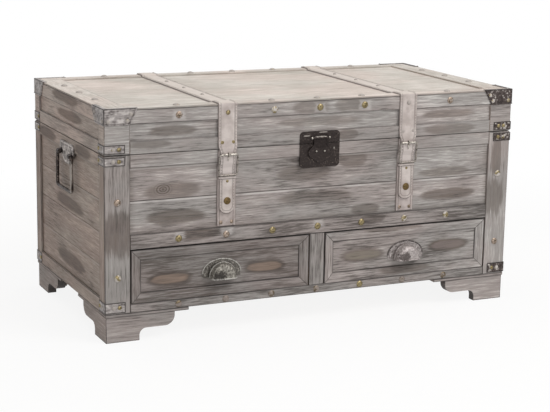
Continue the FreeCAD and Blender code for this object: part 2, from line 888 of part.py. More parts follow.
def hinge_leaf(first, turn):
    """One leaf of the left hinge: turn is 1 for the lid's leaf and -1 for the body's."""
    start = -hinge_spread - hinge_width / 2
    end = start + hinge_width
    pitch = hinge_width / hinge_knuckle_count
    leaf_y = (back_y, back_y + hinge_leaf_thickness)
    near = seam_z + turn * (hinge_knuckle_radius + knuckle_gap)
    far = near + turn * hinge_leaf_height
    shape = board((start, end), leaf_y, sorted((near, far)))
    for i in range(first, hinge_knuckle_count, 2):
        ends = (start + i * pitch + knuckle_gap / 2, start + (i + 1) * pitch - knuckle_gap / 2)
        tab = board(ends, leaf_y, sorted((seam_z, near)))
        knuckle = roll(hinge_knuckle_radius, hinge_axis(ends[0]), hinge_axis(ends[1]))
        shape = shape.fuse([knuckle, tab])
    bore = cylinder(hinge_pin_radius + pin_clearance, hinge_axis(start - overrun), hinge_axis(end + overrun))
    return shape.removeSplitter().cut(bore)


def hinges():
    start = -hinge_spread - hinge_width / 2
    pin = cylinder(hinge_pin_radius, hinge_axis(start), hinge_axis(start + hinge_width))
    return {
        "hinge_body_leaves": both_sides(hinge_leaf(0, -1)),
        "hinge_lid_leaves": both_sides(hinge_leaf(1, 1)),
        "hinge_pins": both_sides(pin),
    }


def handle_plate():
    """The left handle's plate: a wide shoulder above a tab, with an eye for each end of the bail."""
    half = handle_plate_width / 2
    half_tab = handle_tab_width / 2
    bottom = handle_top - handle_plate_height
    shoulder = handle_top - handle_shoulder
    half_outline = [
        (half, handle_top, handle_plate_corner),
        (half, shoulder, 0),
        (half_tab, bottom, handle_tab_radius),
    ]
    left_half = [(-y, z, radius) for y, z, radius in reversed(half_outline)]
    outline = [(Vector(-half_width, middle_y + y, z), radius) for y, z, radius in half_outline + left_half]
    shape = plate(outline, Vector(-handle_plate_thickness, 0, 0))
    web_x = (eye_x, -half_width - handle_plate_thickness)
    web_z = (eye_z, eye_z + eye_radius)
    for middle in (middle_y - eye_spread, middle_y + eye_spread):
        low = middle - eye_length / 2
        high = middle + eye_length / 2
        eye = roll(eye_radius, Vector(eye_x, low, eye_z), Vector(eye_x, high, eye_z))
        shape = shape.fuse([eye, board(web_x, (low, high), web_z)])
    bore_start = Vector(eye_x, middle_y - handle_plate_width, eye_z)
    bore_end = Vector(eye_x, middle_y + handle_plate_width, eye_z)
    return shape.removeSplitter().cut(cylinder(bail_radius + bail_clearance, bore_start, bore_end))


def bail():
    """The left handle's bail: a bent rod that hangs from the two eyes and widens to its grip."""
    inner = eye_spread - eye_length / 2 - bail_end_reach
    shoulder = eye_spread + eye_length / 2 + bail_shoulder_radius
    grip = shoulder + bail_flare
    grip_z = eye_z - bail_drop
    half_path = [(inner, eye_z, 0), (shoulder, eye_z, bail_shoulder_radius), (grip, grip_z, bail_grip_radius)]
    other_half = [(-y, z, radius) for y, z, radius in reversed(half_path)]
    whole_path = half_path + other_half
    points = [Vector(eye_x, middle_y + y, z) for y, z, radius in whole_path]
    path = bent_path(points, [radius for y, z, radius in whole_path])
    return rod(path, bail_radius, bail_sides, Vector(1, 0, 0))


def handles():
    hanging = bail()
    return {
        "handle_plates": both_sides(handle_plate()),
        "bail_left": [hanging],
        "bail_right": [other_side(hanging)],
    }


def moulding_bar(length):
    """A mitred bar of the drawer moulding along X: a flat outer band that sweeps down to a thin lip."""
    hollow_share = 0.35
    fall = moulding_thickness - moulding_lip
    flat_end = Vector(0, -moulding_thickness, moulding_flat)
    lip_edge = Vector(0, -moulding_lip, moulding_width)
    hollow = Vector(0, -moulding_lip - fall * hollow_share, (moulding_flat + moulding_width) / 2)
    band = [
        lip_edge,
        Vector(0, 0, moulding_width),
        Vector(0, 0, 0),
        Vector(0, eased_edge - moulding_thickness, 0),
        Vector(0, -moulding_thickness, eased_edge),
        flat_end,
    ]
    edges = [Part.LineSegment(start, end).toShape() for start, end in zip(band, band[1:])]
    edges.append(Part.Arc(flat_end, hollow, lip_edge).toShape())
    bar = Part.Face(Part.Wire(edges)).extrude(Vector(length, 0, 0))
    mitre = sharp(
        Vector(0, overrun, 0),
        Vector(length, overrun, 0),
        Vector(length - moulding_width, overrun, moulding_width),
        Vector(moulding_width, overrun, moulding_width),
    )
    return bar.common(plate(mitre, Vector(0, -moulding_thickness - 2 * overrun, 0)))


def drawer_front():
    """The left drawer's front board, with a mitred moulding round its edge."""
    across_x = (drawer_left_x, drawer_right_x)
    front_board = board(across_x, (drawer_face, drawer_back), (drawer_bottom_z, drawer_top_z))
    across = drawer_right_x - drawer_left_x
    rise = drawer_top_z - drawer_bottom_z
    starts = [
        (drawer_left_x, drawer_bottom_z, across),
        (drawer_right_x, drawer_bottom_z, rise),
        (drawer_right_x, drawer_top_z, across),
        (drawer_left_x, drawer_top_z, rise),
    ]
    bars = []
    for quarter, (x, z, length) in enumerate(starts):
        bar = moulding_bar(length)
        bar.rotate(Vector(0, 0, 0), Vector(0, 1, 0), -90 * quarter)
        bars.append(bar.translated(Vector(x, drawer_face, z)))
    return [front_board, *bars]


def drawer_box():
    """The left drawer's two sides, back and bottom, behind its front board."""
    end = inner_back - drawer_back_gap
    side_z = (drawer_bottom_z, drawer_top_z - drawer_side_drop)
    left = (drawer_left_x, drawer_left_x + drawer_side_thickness)
    right = (drawer_right_x - drawer_side_thickness, drawer_right_x)
    between = (left[1], right[0])
    floor_low = drawer_bottom_z + drawer_bottom_rise
    floor_z = (floor_low, floor_low + drawer_bottom_thickness)
    return [
        board(left, (drawer_back, end), side_z),
        board(right, (drawer_back, end), side_z),
        board(between, (end - drawer_side_thickness, end), side_z),
        board(between, (drawer_back, end - drawer_side_thickness), floor_z),
    ]


def arch(half, rise, base, y):
    """Half an ellipse that stands on a straight base."""
    right = Vector(half, 0, 0)
    left = Vector(-half, 0, 0)
    half_circle = Part.Arc(right, Vector(0, 0, half), left).toShape()
    stretch = FreeCAD.Matrix()
    stretch.scale(1, 1, rise / half)
    foot = Part.LineSegment(left, right).toShape()
    return Part.Wire([half_circle.transformGeometry(stretch), foot]).translated(Vector(0, y, base))


def cup_arch(half, y):
    """The corners of a half round of flat sides, on two short upright legs."""
    spring = cup_height - cup_width / 2
    turns = [math.pi * i / cup_sides for i in range(cup_sides + 1)]
    round_top = [Vector(half * math.cos(turn), y, spring + half * math.sin(turn)) for turn in turns]
    return [Vector(half, y, 0), *round_top, Vector(-half, y, 0)]


def cup(half, projection):
    """A blunt hammered cup: half rounds that grow smaller towards its front, flat at the back and below."""
    sections = []
    for depth_share, girth_share in zip(cup_depth_shares, cup_girth_shares):
        sections.append(cup_arch(half * girth_share, -projection * depth_share))
    return faceted(sections)


def cup_pull():
    """The left drawer's pull: a hollow cup, open below, on an arched rim with two ears."""
    half = pull_width / 2
    half_cup = cup_width / 2
    out = Vector(0, -pull_plate, 0)
    ears = [
        (Vector(-half, 0, pull_ear_height), 0),
        (Vector(-half, 0, 0), pull_ear_radius),
        (Vector(half, 0, 0), pull_ear_radius),
        (Vector(half, 0, pull_ear_height), 0),
    ]
    rim_arch = Part.Face(arch(half, pull_height - pull_ear_height, pull_ear_height, 0)).extrude(out)
    shell = cup(half_cup, cup_projection).translated(out)
    inner_half = half_cup - cup_wall
    hollow = cup(inner_half, cup_projection - cup_wall).translated(out)
    mouth = flat_face(*cup_arch(inner_half, 0)).extrude(out)
    pull = rim_arch.fuse([plate(ears, out), shell]).removeSplitter().cut([hollow, mouth])
    base_z = (drawer_bottom_z + drawer_top_z - pull_height) / 2 + pull_rise
    return pull.translated(Vector(drawer_middle_x, drawer_face, base_z))


def drawers():
    front = drawer_front()
    box = drawer_box()
    pull = cup_pull()
    return {
        "drawer_left_front": front,
        "drawer_left_box": box,
        "cup_pull_left": [pull],
        "drawer_right_front": [other_side(shape) for shape in front],
        "drawer_right_box": [other_side(shape) for shape in box],
        "cup_pull_right": [other_side(pull)],
    }


def write(pieces):
    """Writes each named piece, or group of like pieces, to its own file."""
    for name, solids in pieces.items():
        shape = solids[0] if len(solids) == 1 else Part.makeCompound(solids)
        shape.exportStep("parts/" + name + ".step")


os.makedirs("parts", exist_ok=True)
write(carcass_boards())
write(feet())
write(lid_boards())
write(corner_metal())
write({"lid_tacks": lid_tacks(), "body_tacks": body_tacks()})
write(straps())
write(hasp())
write(hinges())
write(handles())
write(drawers())
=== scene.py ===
import math
from functools import cached_property

import bmesh
import bpy
from mathutils import Matrix, Vector, noise


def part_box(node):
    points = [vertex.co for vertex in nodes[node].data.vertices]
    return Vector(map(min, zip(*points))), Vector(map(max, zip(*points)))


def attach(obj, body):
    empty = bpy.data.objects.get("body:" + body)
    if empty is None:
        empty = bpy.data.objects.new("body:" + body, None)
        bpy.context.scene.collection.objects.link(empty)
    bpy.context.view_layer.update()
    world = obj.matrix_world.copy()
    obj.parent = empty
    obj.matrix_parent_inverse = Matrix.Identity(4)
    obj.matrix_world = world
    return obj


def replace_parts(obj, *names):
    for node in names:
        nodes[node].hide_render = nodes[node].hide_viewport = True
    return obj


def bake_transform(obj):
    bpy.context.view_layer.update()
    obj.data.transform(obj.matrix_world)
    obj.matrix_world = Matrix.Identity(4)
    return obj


# A mule chest in whitewashed wood, with leather straps, brass tacks and hammered iron.
# Lengths are in metres. X runs along the front, Y towards the back and Z up.
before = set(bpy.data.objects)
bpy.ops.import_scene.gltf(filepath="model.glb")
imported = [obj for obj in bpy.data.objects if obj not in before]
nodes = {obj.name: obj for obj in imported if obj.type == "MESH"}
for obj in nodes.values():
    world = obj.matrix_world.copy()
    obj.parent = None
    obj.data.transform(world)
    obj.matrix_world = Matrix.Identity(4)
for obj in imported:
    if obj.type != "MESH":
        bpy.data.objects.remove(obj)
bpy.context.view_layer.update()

# The photograph's camera
photo_width = 550
focal_pixels = 1498.3
sensor_width = 36.0
camera_place = Vector((-1.3266, -2.8535, 0.8845))
camera_azimuth = -25.09
camera_elevation = 12.42
camera_roll = 1.01

# Directions
right = Vector((1, 0, 0))
front = Vector((0, -1, 0))
up = Vector((0, 0, 1))


def shade(text):
    """A colour from its six hexadecimal digits, as linear light."""
    parts = [int(text[i : i + 2], 16) / 255 for i in (0, 2, 4)]
    linear = [c / 12.92 if c <= 0.04045 else ((c + 0.055) / 1.055) ** 2.4 for c in parts]
    return (*linear, 1)


def shades(*texts):
    return tuple(shade(text) for text in texts)


# Tones of the wood, from bare to fully washed
front_tones = shades("56504d", "9a9492", "ccc7c5")
cream_tones = shades("a0958c", "c0b8b1", "d8d0ca")
side_tones = shades("675b55", "9f948d", "c2b7b0")
lid_side_tones = shades("6a5e58", "a79c96", "cbc1bb")
dull_tones = shades("58504c", "8a8482", "b2adab")
inner_tones = shades("8f7558", "c3a98a")

# Other colours of the wood
# The painted highlight just below the plank joints
joint_highlight_colour = shade("ccc7c5")
dark_line = shade("2b2523")
rubbed_tint = shade("a0958c")
warm_tint = shade("fff8f5")
cool_tint = shade("f6faf8")
side_tint = shade("f6eee9")
warm_side = shade("f3e6dd")
tan_wood = shade("907c6e")
olive_wood = shade("857d70")
plum_wood = shade("7c706d")

# Tones of the fittings, from deep to bright
brushed_tones = shades("5f5957", "96908e", "b9b3b0")
dark_tones = shades("2d2523", "4a403d", "bdb7b2")
plate_tones = shades("453f3c", "7d7673", "b0a9a5")
relief_tones = shades("6f6865", "aba4a0", "d2cbc7")
steel_tones = shades("59534f", "c3bdb4")
buckle_tones = shades("443f3c", "9b948d")
strap_tones = shades("afa4a0", "cbc2be")
low_strap_tones = shades("998e8a", "b9aeab")

# Other colours of the fittings
brass_light = shade("8e8161")
brass_dark = shade("3f3623")
metal_wash = shade("bdb7b2")
# Painted shade in the eyes of the handle plates
eye_shade_black = shade("2d2523")
iron_light = shade("85786f")
iron_dark = shade("2b2321")
# Bright bare iron, for scratches and for painted highlights on the hasp and bail
iron_bright = shade("aba49d")
# Painted shade under the roll of the hasp
iron_shade = shade("1f1614")
leather_line = shade("4f4642")
# Painted light on the straps: paler on faces that look up, and within the buckle
lit_top_leather = shade("cfc6be")
buckle_leather = shade("cbc2bf")
thread_colour = shade("9b918a")


def worked(operation, swapped=False):
    """An operator of Tone, which adds a Math node."""

    def operator(self, other):
        values = (other, self) if swapped else (self, other)
        return self.finish.math(operation, *values)

    return operator


class Tone:
    """A value, colour or vector inside a finish, with the usual operators."""

    __add__ = worked("ADD")
    __radd__ = worked("ADD", swapped=True)
    __sub__ = worked("SUBTRACT")
    __rsub__ = worked("SUBTRACT", swapped=True)
    __mul__ = worked("MULTIPLY")
    __rmul__ = worked("MULTIPLY", swapped=True)
    __truediv__ = worked("DIVIDE")
    over = worked("GREATER_THAN")
    under = worked("LESS_THAN")
    least = worked("MINIMUM")
    most = worked("MAXIMUM")

    def __init__(self, finish, socket):
        self.finish = finish
        self.socket = socket

    def __abs__(self):
        return self.finish.math("ABSOLUTE", self)

    def sign(self):
        return self.finish.math("SIGN", self)

    def root(self):
        return self.finish.math("SQRT", self)

    def rise(self, start, end):
        """Goes smoothly from 0 at start to 1 at end."""
        sockets = {"Value": self, "From Min": start, "From Max": end}
        return self.finish.add("ShaderNodeMapRange", {"interpolation_type": "SMOOTHSTEP"}, sockets)


class Finish:
    """A material, or the world's light, that is built from nodes."""

    def __init__(self, name, world=None):
        self.material = world or bpy.data.materials.new(name)
        self.material.use_nodes = True
        self.tree = self.material.node_tree
        self.tree.nodes.clear()

    def add(self, kind, settings=None, sockets=None, output=0):
        """Adds a node: its settings first, then the values or links of its sockets."""
        node = self.tree.nodes.new(kind)
        for key, value in (settings or {}).items():
            setattr(node, key, value)
        for key, value in (sockets or {}).items():
            if isinstance(value, Tone):
                self.tree.links.new(value.socket, node.inputs[key])
            else:
                node.inputs[key].default_value = value
        return Tone(self, node.outputs[output]) if node.outputs else None

    def math(self, operation, *values):
        return self.add("ShaderNodeMath", {"operation": operation}, dict(enumerate(values)))

    def vector(self, operation, *values):
        return self.add("ShaderNodeVectorMath", {"operation": operation}, dict(enumerate(values)))

    def split(self, vector):
        parts = self.add("ShaderNodeSeparateXYZ", {}, {0: vector}).socket.node.outputs
        return [Tone(self, part) for part in parts]

    @cached_property
    def place(self):
        """Where a point lies on the chest at rest."""
        return self.add("ShaderNodeTexCoord", output="Object")

    @cached_property
    def xyz(self):
        return self.split(self.place)

    @cached_property
    def facing(self):
        """Which way a point of the surface looks, at rest."""
        return self.split(self.add("ShaderNodeTexCoord", output="Normal"))

    def cloud(self, vector, scale, detail=2.0, roughness=0.5):
        sockets = {"Vector": vector, "Scale": scale, "Detail": detail, "Roughness": roughness}
        return self.add("ShaderNodeTexNoise", {}, sockets)

    def dents(self, scale):
        """The rounded hollows of hammer blows."""
        sockets = {"Vector": self.place, "Scale": scale, "Smoothness": 0.6}
        return self.add("ShaderNodeTexVoronoi", {"feature": "SMOOTH_F1"}, sockets)

    def mix(self, share, first, second, blend="MIX"):
        settings = {"data_type": "RGBA", "blend_type": blend}
        return self.add("ShaderNodeMix", settings, {0: share, 6: first, 7: second}, output=2)

    def tint(self, share, colour, by):
        return self.mix(share, colour, by, "MULTIPLY")

    def tones(self, cover, colours, steps):
        """From the first colour to the second between the first two steps, then to the third."""
        colour = self.mix(cover.rise(*steps[:2]), *colours[:2])
        return self.mix(cover.rise(*steps[2:]), colour, colours[2])

    def either(self, share, first, second):
        """One of two directions or scales."""
        sockets = {0: share, 4: first, 5: second}
        return self.add("ShaderNodeMix", {"data_type": "VECTOR"}, sockets, output=1)

    def bump(self, height, distance, strength=1.0):
        sockets = {"Height": height, "Distance": distance, "Strength": strength}
        return self.add("ShaderNodeBump", {}, sockets)

    def surface(self, **sockets):
        names = {key.replace("_", " ").title(): value for key, value in sockets.items()}
        shader = self.add("ShaderNodeBsdfPrincipled", {}, names)
        self.add("ShaderNodeOutputMaterial", {}, {"Surface": shader})
        return self.material


def solids_of(node):
    """The lowest and highest corner of each separate solid of a CAD node."""
    mesh = nodes[node].data
    places = [tuple(round(c, 5) for c in vertex.co) for vertex in mesh.vertices]
    group = {place: place for place in places}

    def root(place):
        while group[place] != place:
            place = group[place]
        return place

    for polygon in mesh.polygons:
        first = root(places[polygon.vertices[0]])
        for index in polygon.vertices[1:]:
            group[root(places[index])] = first
    boxes = {}
    for place in group:
        low, high = boxes.setdefault(root(place), (Vector(place), Vector(place)))
        low[:] = map(min, low, place)
        high[:] = map(max, high, place)
    return sorted(boxes.values(), key=lambda ends: tuple(ends[0]))


def dress(material, *names):
    """Gives CAD nodes their finish."""
    for name in names:
        nodes[name].data.materials.clear()
        nodes[name].data.materials.append(material)


# Levels and faces of the chest, from the frame
lid_low, lid_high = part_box("lid_upper_battens")
half_width = lid_high.x
front_y = lid_low.y
back_y = lid_high.y
middle_y = (front_y + back_y) / 2
panel_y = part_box("front_panel")[0].y
panel_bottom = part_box("side_panel_left")[0].z
lid_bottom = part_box("lid_front_board")[0].z
lid_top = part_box("lid_top_battens")[1].z
lid_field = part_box("lid_top_panel")[1].z
body_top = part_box("front_stiles")[1].z
stile_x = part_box("drawer_rail")[1].x
rail_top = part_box("drawer_rail")[1].z
top_rail_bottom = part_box("front_top_rail")[0].z
top_corners = [vertex.co for vertex in nodes["lid_top_battens"].data.vertices]
rim = min(corner.y - front_y for corner in top_corners if corner.y - front_y > 0.001)
end_rim = min(corner.x + half_width for corner in top_corners if corner.x + half_width > 0.001)
plank_width = 0.065
moulding_width = 0.020

# The straps: those on the lid narrow to the loose tails at the seam
strap_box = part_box("upper_strap_left")
tail_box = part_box("strap_tail_left")
low_strap_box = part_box("lower_straps")
strap_thick = front_y - strap_box[0].y
strap_half = (strap_box[1].x - strap_box[0].x) / 2
tail_half = (tail_box[1].x - tail_box[0].x) / 2
strap_x = (strap_box[1].x + strap_box[0].x) / 2
strap_gap = 0.0001
tail_gap = 0.0033
strap_slope = 0.010
strap_back_drop = 0.030
strap_bend = 0.002
strap_pitch = 0.006
strap_ease = 0.006
tail_lead = 0.016
tail_tip_radius = 0.014
welt_inset = 0.0055

# Half of a strap's section, from its edge to its middle: share of the half width, share of the thickness
strap_section = (
    (1.0, 0.0),
    (1.0, 0.55),
    (0.96, 0.87),
    (0.89, 1.0),
    (0.78, 0.96),
    (0.72, 0.7),
    (0.66, 0.84),
    (0.5, 0.93),
    (0.25, 0.97),
)

# The buckles, and the leather keepers below them
buckle_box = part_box("strap_fittings_left")
snap_box = min(solids_of("strap_fittings_left"), key=lambda ends: ends[0].z)
frame_box = max(solids_of("strap_fittings_left"), key=lambda ends: ends[0].z)
roller_radius = 0.0026
wire_radius = 0.0019
buckle_corner = 0.005
buckle_half = (buckle_box[1].x - buckle_box[0].x) / 2 - wire_radius
buckle_top = buckle_box[1].z - roller_radius
buckle_top_y = buckle_box[0].y + roller_radius
buckle_low = frame_box[0].z + wire_radius
buckle_low_y = buckle_top_y + panel_y - front_y
keeper_height = 0.0058
keeper_thick = 0.0014
keeper_gap = 0.0003
keeper_level = buckle_low - wire_radius - keeper_gap - keeper_height / 2

# A keeper's section, from its lower edge to its upper one: share of half the height, and of the thickness
keeper_section = ((-1.0, 0.0), (-1.0, 0.6), (-0.8, 1.0), (0.8, 1.0), (1.0, 0.6), (1.0, 0.0))

# The handles
bail_low, bail_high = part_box("bail_left")
bail_radius = 0.003
eye_reach = 0.034
eye_level = bail_high.z - bail_radius

# Worn marks, painted shade and painted highlights: middle along the board, level, half length, half height
# and depth
panel_marks = [
    (-0.3126, 0.2913, 0.060, 0.017, 0.8),
    (-0.3042, 0.2385, 0.062, 0.0155, 1.0),
    (-0.0311, 0.3068, 0.060, 0.016, 0.75),
    (-0.0076, 0.2561, 0.085, 0.0125, 0.7),
    (0.0774, 0.3300, 0.034, 0.020, 0.8),
    (0.1104, 0.2222, 0.034, 0.0115, 0.8),
    (0.2920, 0.2882, 0.061, 0.0105, 0.85),
    (0.3032, 0.2405, 0.066, 0.0125, 1.0),
]
lid_marks = [
    (-0.3114, 0.4082, 0.050, 0.0095, 0.85),
    (0.0018, 0.4100, 0.095, 0.0100, 0.7),
    (0.3000, 0.4103, 0.066, 0.0080, 0.8),
]
batten_marks = [
    (-0.3592, 0.3842, 0.044, 0.0080, 0.7),
    (0.0623, 0.3811, 0.026, 0.0100, 0.8),
    (0.3025, 0.3792, 0.062, 0.0105, 0.75),
    (-0.0200, 0.4400, 0.042, 0.0150, 0.7),
    (0.0700, 0.4420, 0.040, 0.0150, 0.7),
]
stile_marks = [
    (-0.4245, 0.2120, 0.034, 0.046, 0.85),
    (0.4190, 0.3140, 0.013, 0.044, 0.85),
    (0.4170, 0.2213, 0.022, 0.045, 0.85),
]
rail_marks = [(-0.2609, 0.2011, 0.046, 0.0115, 0.9), (0.1265, 0.2017, 0.030, 0.0090, 0.7)]
back_marks = [(0.1, 0.2, 0.08, 0.014, 0.8)]
lid_side_marks = [(0.0094, 0.4096, 0.085, 0.0110, 1.0)]
upper_side_marks = [(0.0215, 0.4440, 0.090, 0.0110, 1.0)]
rail_side_marks = [(0.1443, 0.3522, 0.060, 0.0110, 1.0), (-0.0944, 0.3533, 0.050, 0.0110, 0.9)]
panel_side_marks = [(0.0070, 0.2294, 0.092, 0.0140, 1.0), (0.0050, 0.1128, 0.092, 0.0150, 1.0)]
left_drawer_marks = [(-0.3148, 0.1162, 0.050, 0.0165, 0.9), (-0.1159, 0.1223, 0.048, 0.0155, 0.9)]
right_drawer_marks = [(0.1077, 0.1257, 0.052, 0.0150, 0.8), (0.3125, 0.1299, 0.050, 0.0140, 1.0)]
right_drawer_smears = [(0.2051, 0.0879, 0.060, 0.0095, 0.8), (0.1777, 0.1779, 0.070, 0.0070, 0.7)]
# Scratches on the hasp; the second and third are painted highlights, on the top edge of the upper plate and
# along the knuckle's roll
hasp_scratches_and_highlights = [
    (-0.029, 0.3825, 0.0075, 0.0009, 1.0),
    (0.007, 0.3885, 0.0095, 0.0010, 0.8),
    (0.000, 0.3805, 0.0130, 0.0007, 0.8),
    (0.032, 0.3550, 0.0012, 0.0024, 0.7),
]
# Painted shade on the hasp, under its hinge roll
hasp_shade_marks = [(-0.027, 0.3700, 0.0150, 0.0060, 0.75), (0.002, 0.3665, 0.0190, 0.0115, 0.85)]
# Painted shade in the eyes of the handle plates
plate_eye_shade = [(middle_y + turn * eye_reach, eye_level, 0.0085, 0.0085, 0.9) for turn in (-1, 1)]
# A painted highlight along the front bar of the bail
bail_highlight = [(bail_low.y + 0.004, bail_low.z * 0.6 + bail_high.z * 0.4, 0.0032, 0.032, 0.7)]

# Knots, and pale patches round tacks: middle along the board, level, half length and half height
tack_step = -strap_x / 2
front_knots = [(-0.3308, 0.2950, 0.019, 0.013)]
lid_halos = [(tack_step * count, 0.4385, 0.0125, 0.0100) for count in (-3, 0, 1)]
rail_halos = [(tack_step * count + 0.002, 0.2030, 0.013, 0.009) for count in (-3, -2, 0)]

# Grain: the scale of a pattern along the boards, against 1 across them
lengthwise = 0.06
along_x = (lengthwise, 1, 1)
along_y = (1, lengthwise, 1)
along_z = (1, 1, lengthwise)


def level_grain(finish):
    """Boards that lie level: along the front on front and back, and along the side on the sides."""
    return finish.either(abs(finish.facing[0]).over(0.6), along_x, along_y)


def upright_grain(finish):
    return along_z


def frame_grain(finish):
    """A frame of level rails between upright stiles."""
    return finish.either(abs(finish.xyz[0]).over(stile_x), along_x, along_z)


def lid_rim_grain(finish):
    """The battens on top of the lid: long ones along the front and back, short ones at the sides."""
    return finish.either(abs(finish.xyz[0]).over(half_width - end_rim), along_x, along_y)


def top_rim_boards():
    """The four battens on top of the lid: two long ones, and two short ones between them."""
    boards = []
    for near in (front_y, back_y - rim):
        boards.append((Vector((-half_width, near, lid_field)), Vector((half_width, near + rim, lid_top))))
    for near in (-half_width, half_width - end_rim):
        low = Vector((near, front_y + rim, lid_field))
        boards.append((low, Vector((near + end_rim, back_y - rim, lid_top))))
    return boards


def edge_distance(finish, boards):
    """How far a point on the surface of a board lies from the nearest edge of that board."""
    slack = 0.0004
    far = 1.0
    nearest = None
    for low, high in boards:
        middle = (low + high) / 2
        half = (high - low) / 2
        from_middle = finish.vector("ABSOLUTE", finish.vector("SUBTRACT", finish.place, tuple(middle)))
        a, b, c = finish.split(finish.vector("SUBTRACT", tuple(half), from_middle))
        least = a.least(b).least(c)
        second = a.least(b).most(a.most(b).least(c))
        distance = second + least.under(-slack) * far
        nearest = distance if nearest is None else nearest.least(distance)
    return nearest


def worn_marks(marks, along, level, ragged):
    """Long soft ovals with ragged edges, each as strong as its depth."""
    worn = None
    for middle, height, half_length, half_height, depth in marks:
        across = (along - middle) / half_length
        rise = (level - height) / half_height
        spread = across * across * abs(across) + rise * rise + ragged
        mark = spread.rise(1.3, 0.5) * depth
        worn = mark if worn is None else worn.most(mark)
    return worn


class Wash:
    """How thickly a board is washed, how strongly that varies, and in what tones."""

    def __init__(self, amount, contrast=1.0, tones=front_tones):
        self.amount = amount
        self.contrast = contrast
        self.tones = tones


class Brushwork:
    """The layers of a brushed wash on wood, from broad clouds to fine lines."""

    fine_scale = 470
    line_scale = 240
    band_scale = 75
    cloud_scale = 13

    def __init__(self, finish, wash, shift, grain, lift=0.0):
        shifted = finish.vector("ADD", finish.place, shift)
        stretched = finish.vector("MULTIPLY", shifted, grain)
        clouded = finish.vector("MULTIPLY", shifted, (0.5, 0.5, 1))
        self.finish = finish
        self.fine = finish.cloud(stretched, self.fine_scale, 4.0, 0.65) - 0.5
        self.lines = finish.cloud(stretched, self.line_scale, 5.0, 0.65) - 0.5
        self.bands = finish.cloud(stretched, self.band_scale, 3.0) - 0.5
        self.clouds = finish.cloud(clouded, self.cloud_scale, 3.0) - 0.5
        self.ragged = self.lines * 1.2 + self.bands * 0.6 + self.clouds * 0.7
        layers = self.fine * 1.6 + self.lines * 0.95 + self.bands * 0.5 + self.clouds
        cover = layers * wash.contrast + wash.amount + lift
        colour = finish.tones(cover, wash.tones, (0.0, 0.5, 0.5, 1.0))
        coolness = finish.cloud(clouded, self.cloud_scale * 0.8, 2.0).rise(0.38, 0.6)
        self.colour = finish.tint(0.6, colour, finish.mix(coolness, warm_tint, cool_tint))
        self.pores = finish.cloud(stretched, self.line_scale * 1.3, 6.0, 0.75).rise(0.585, 0.69)
        self.paint(self.pores * (0.36 * wash.contrast), wash.tones[0])

    def paint(self, share, colour):
        self.colour = self.finish.mix(share, self.colour, colour)

    def tint(self, share, colour):
        self.colour = self.finish.tint(share, self.colour, colour)

    def rub(self, worn, depth=0.75):
        """Rubs the wash away, so that the wood shows through with the same grain."""
        strength = worn * (depth + self.lines * 1.3 + self.fine * 0.6)
        self.tint(strength.most(0.0).least(1.0), rubbed_tint)

    def ink(self, line, depth):
        """Draws a dark broken line."""
        broken = self.bands.rise(-0.2, 0.12)
        self.paint(line * (0.35 + broken * 0.65) * depth, dark_line)

    def surface(self):
        height = self.fine * 0.6 + self.lines * 0.9 - self.pores * 0.5
        normal = self.finish.bump(height, 0.0007, 0.55)
        roughness = 0.64 - self.fine * 0.35
        return self.finish.surface(base_color=self.colour, roughness=roughness, normal=normal)


def shift_of(seed):
    """How far a pattern is moved, so that no two boards are alike."""
    return (seed, seed * 2, seed * 3)


def washed_wood(
    name,
    grain,
    wash,
    seed,
    boards=(),
    front_marks=(),
    side_marks=(),
    halos=(),
    line=1.0,
    bare_below=False,
    side_lift=0.0,
    side_colour=side_tint,
    right_lift=0.0,
    ragged=1.0,
):
    """Brushed grey and white wash over brown wood, worn through in places, dark along the edges, with
    painted shade below and painted light towards the right where asked.
    """
    finish = Finish(name)
    facing = finish.facing
    x, y, z = finish.xyz
    on_side = abs(facing[0]).over(0.5)
    # Painted light: the front of a board is made paler towards its right end, where the key lamp falls;
    # side faces are lifted by side_lift
    lift = on_side * side_lift + x.rise(0.16, 0.30) * (1 - on_side) * right_lift
    work = Brushwork(finish, wash, shift_of(seed), grain(finish), lift)
    work.tint(on_side, side_colour)
    if front_marks:
        work.rub(worn_marks(front_marks, x, z, work.ragged * ragged) * facing[1].under(-0.5))
    for middle, level, half_length, half_height in halos:
        reach = (abs(x - middle) / half_length).most(abs(z - level) / half_height)
        patch = (reach + work.ragged * 1.6).rise(1.2, 0.6) * (0.42 + work.lines * 1.2)
        work.paint(patch.most(0.0), wash.tones[2])
    if side_marks:
        outer_side = (facing[0] * x.sign()).over(0.5)
        work.rub(worn_marks(side_marks, y, z, work.ragged) * outer_side, 0.95)
    if boards:
        width = 0.0009 + work.lines * 0.0016 + work.clouds * 0.001
        work.ink(edge_distance(finish, boards).rise(width + 0.0008, width), 0.85 * line)
    # Faces that look down or inward are painted dark: the unwashed wood there, and painted shade under the
    # rails and inside the feet
    if bare_below:
        outward = facing[0] * x.sign() + facing[1] * (y - middle_y).sign()
        work.paint(outward.least(facing[2]).rise(-0.1, -0.35) * 0.85, dark_line)
    return work.surface()


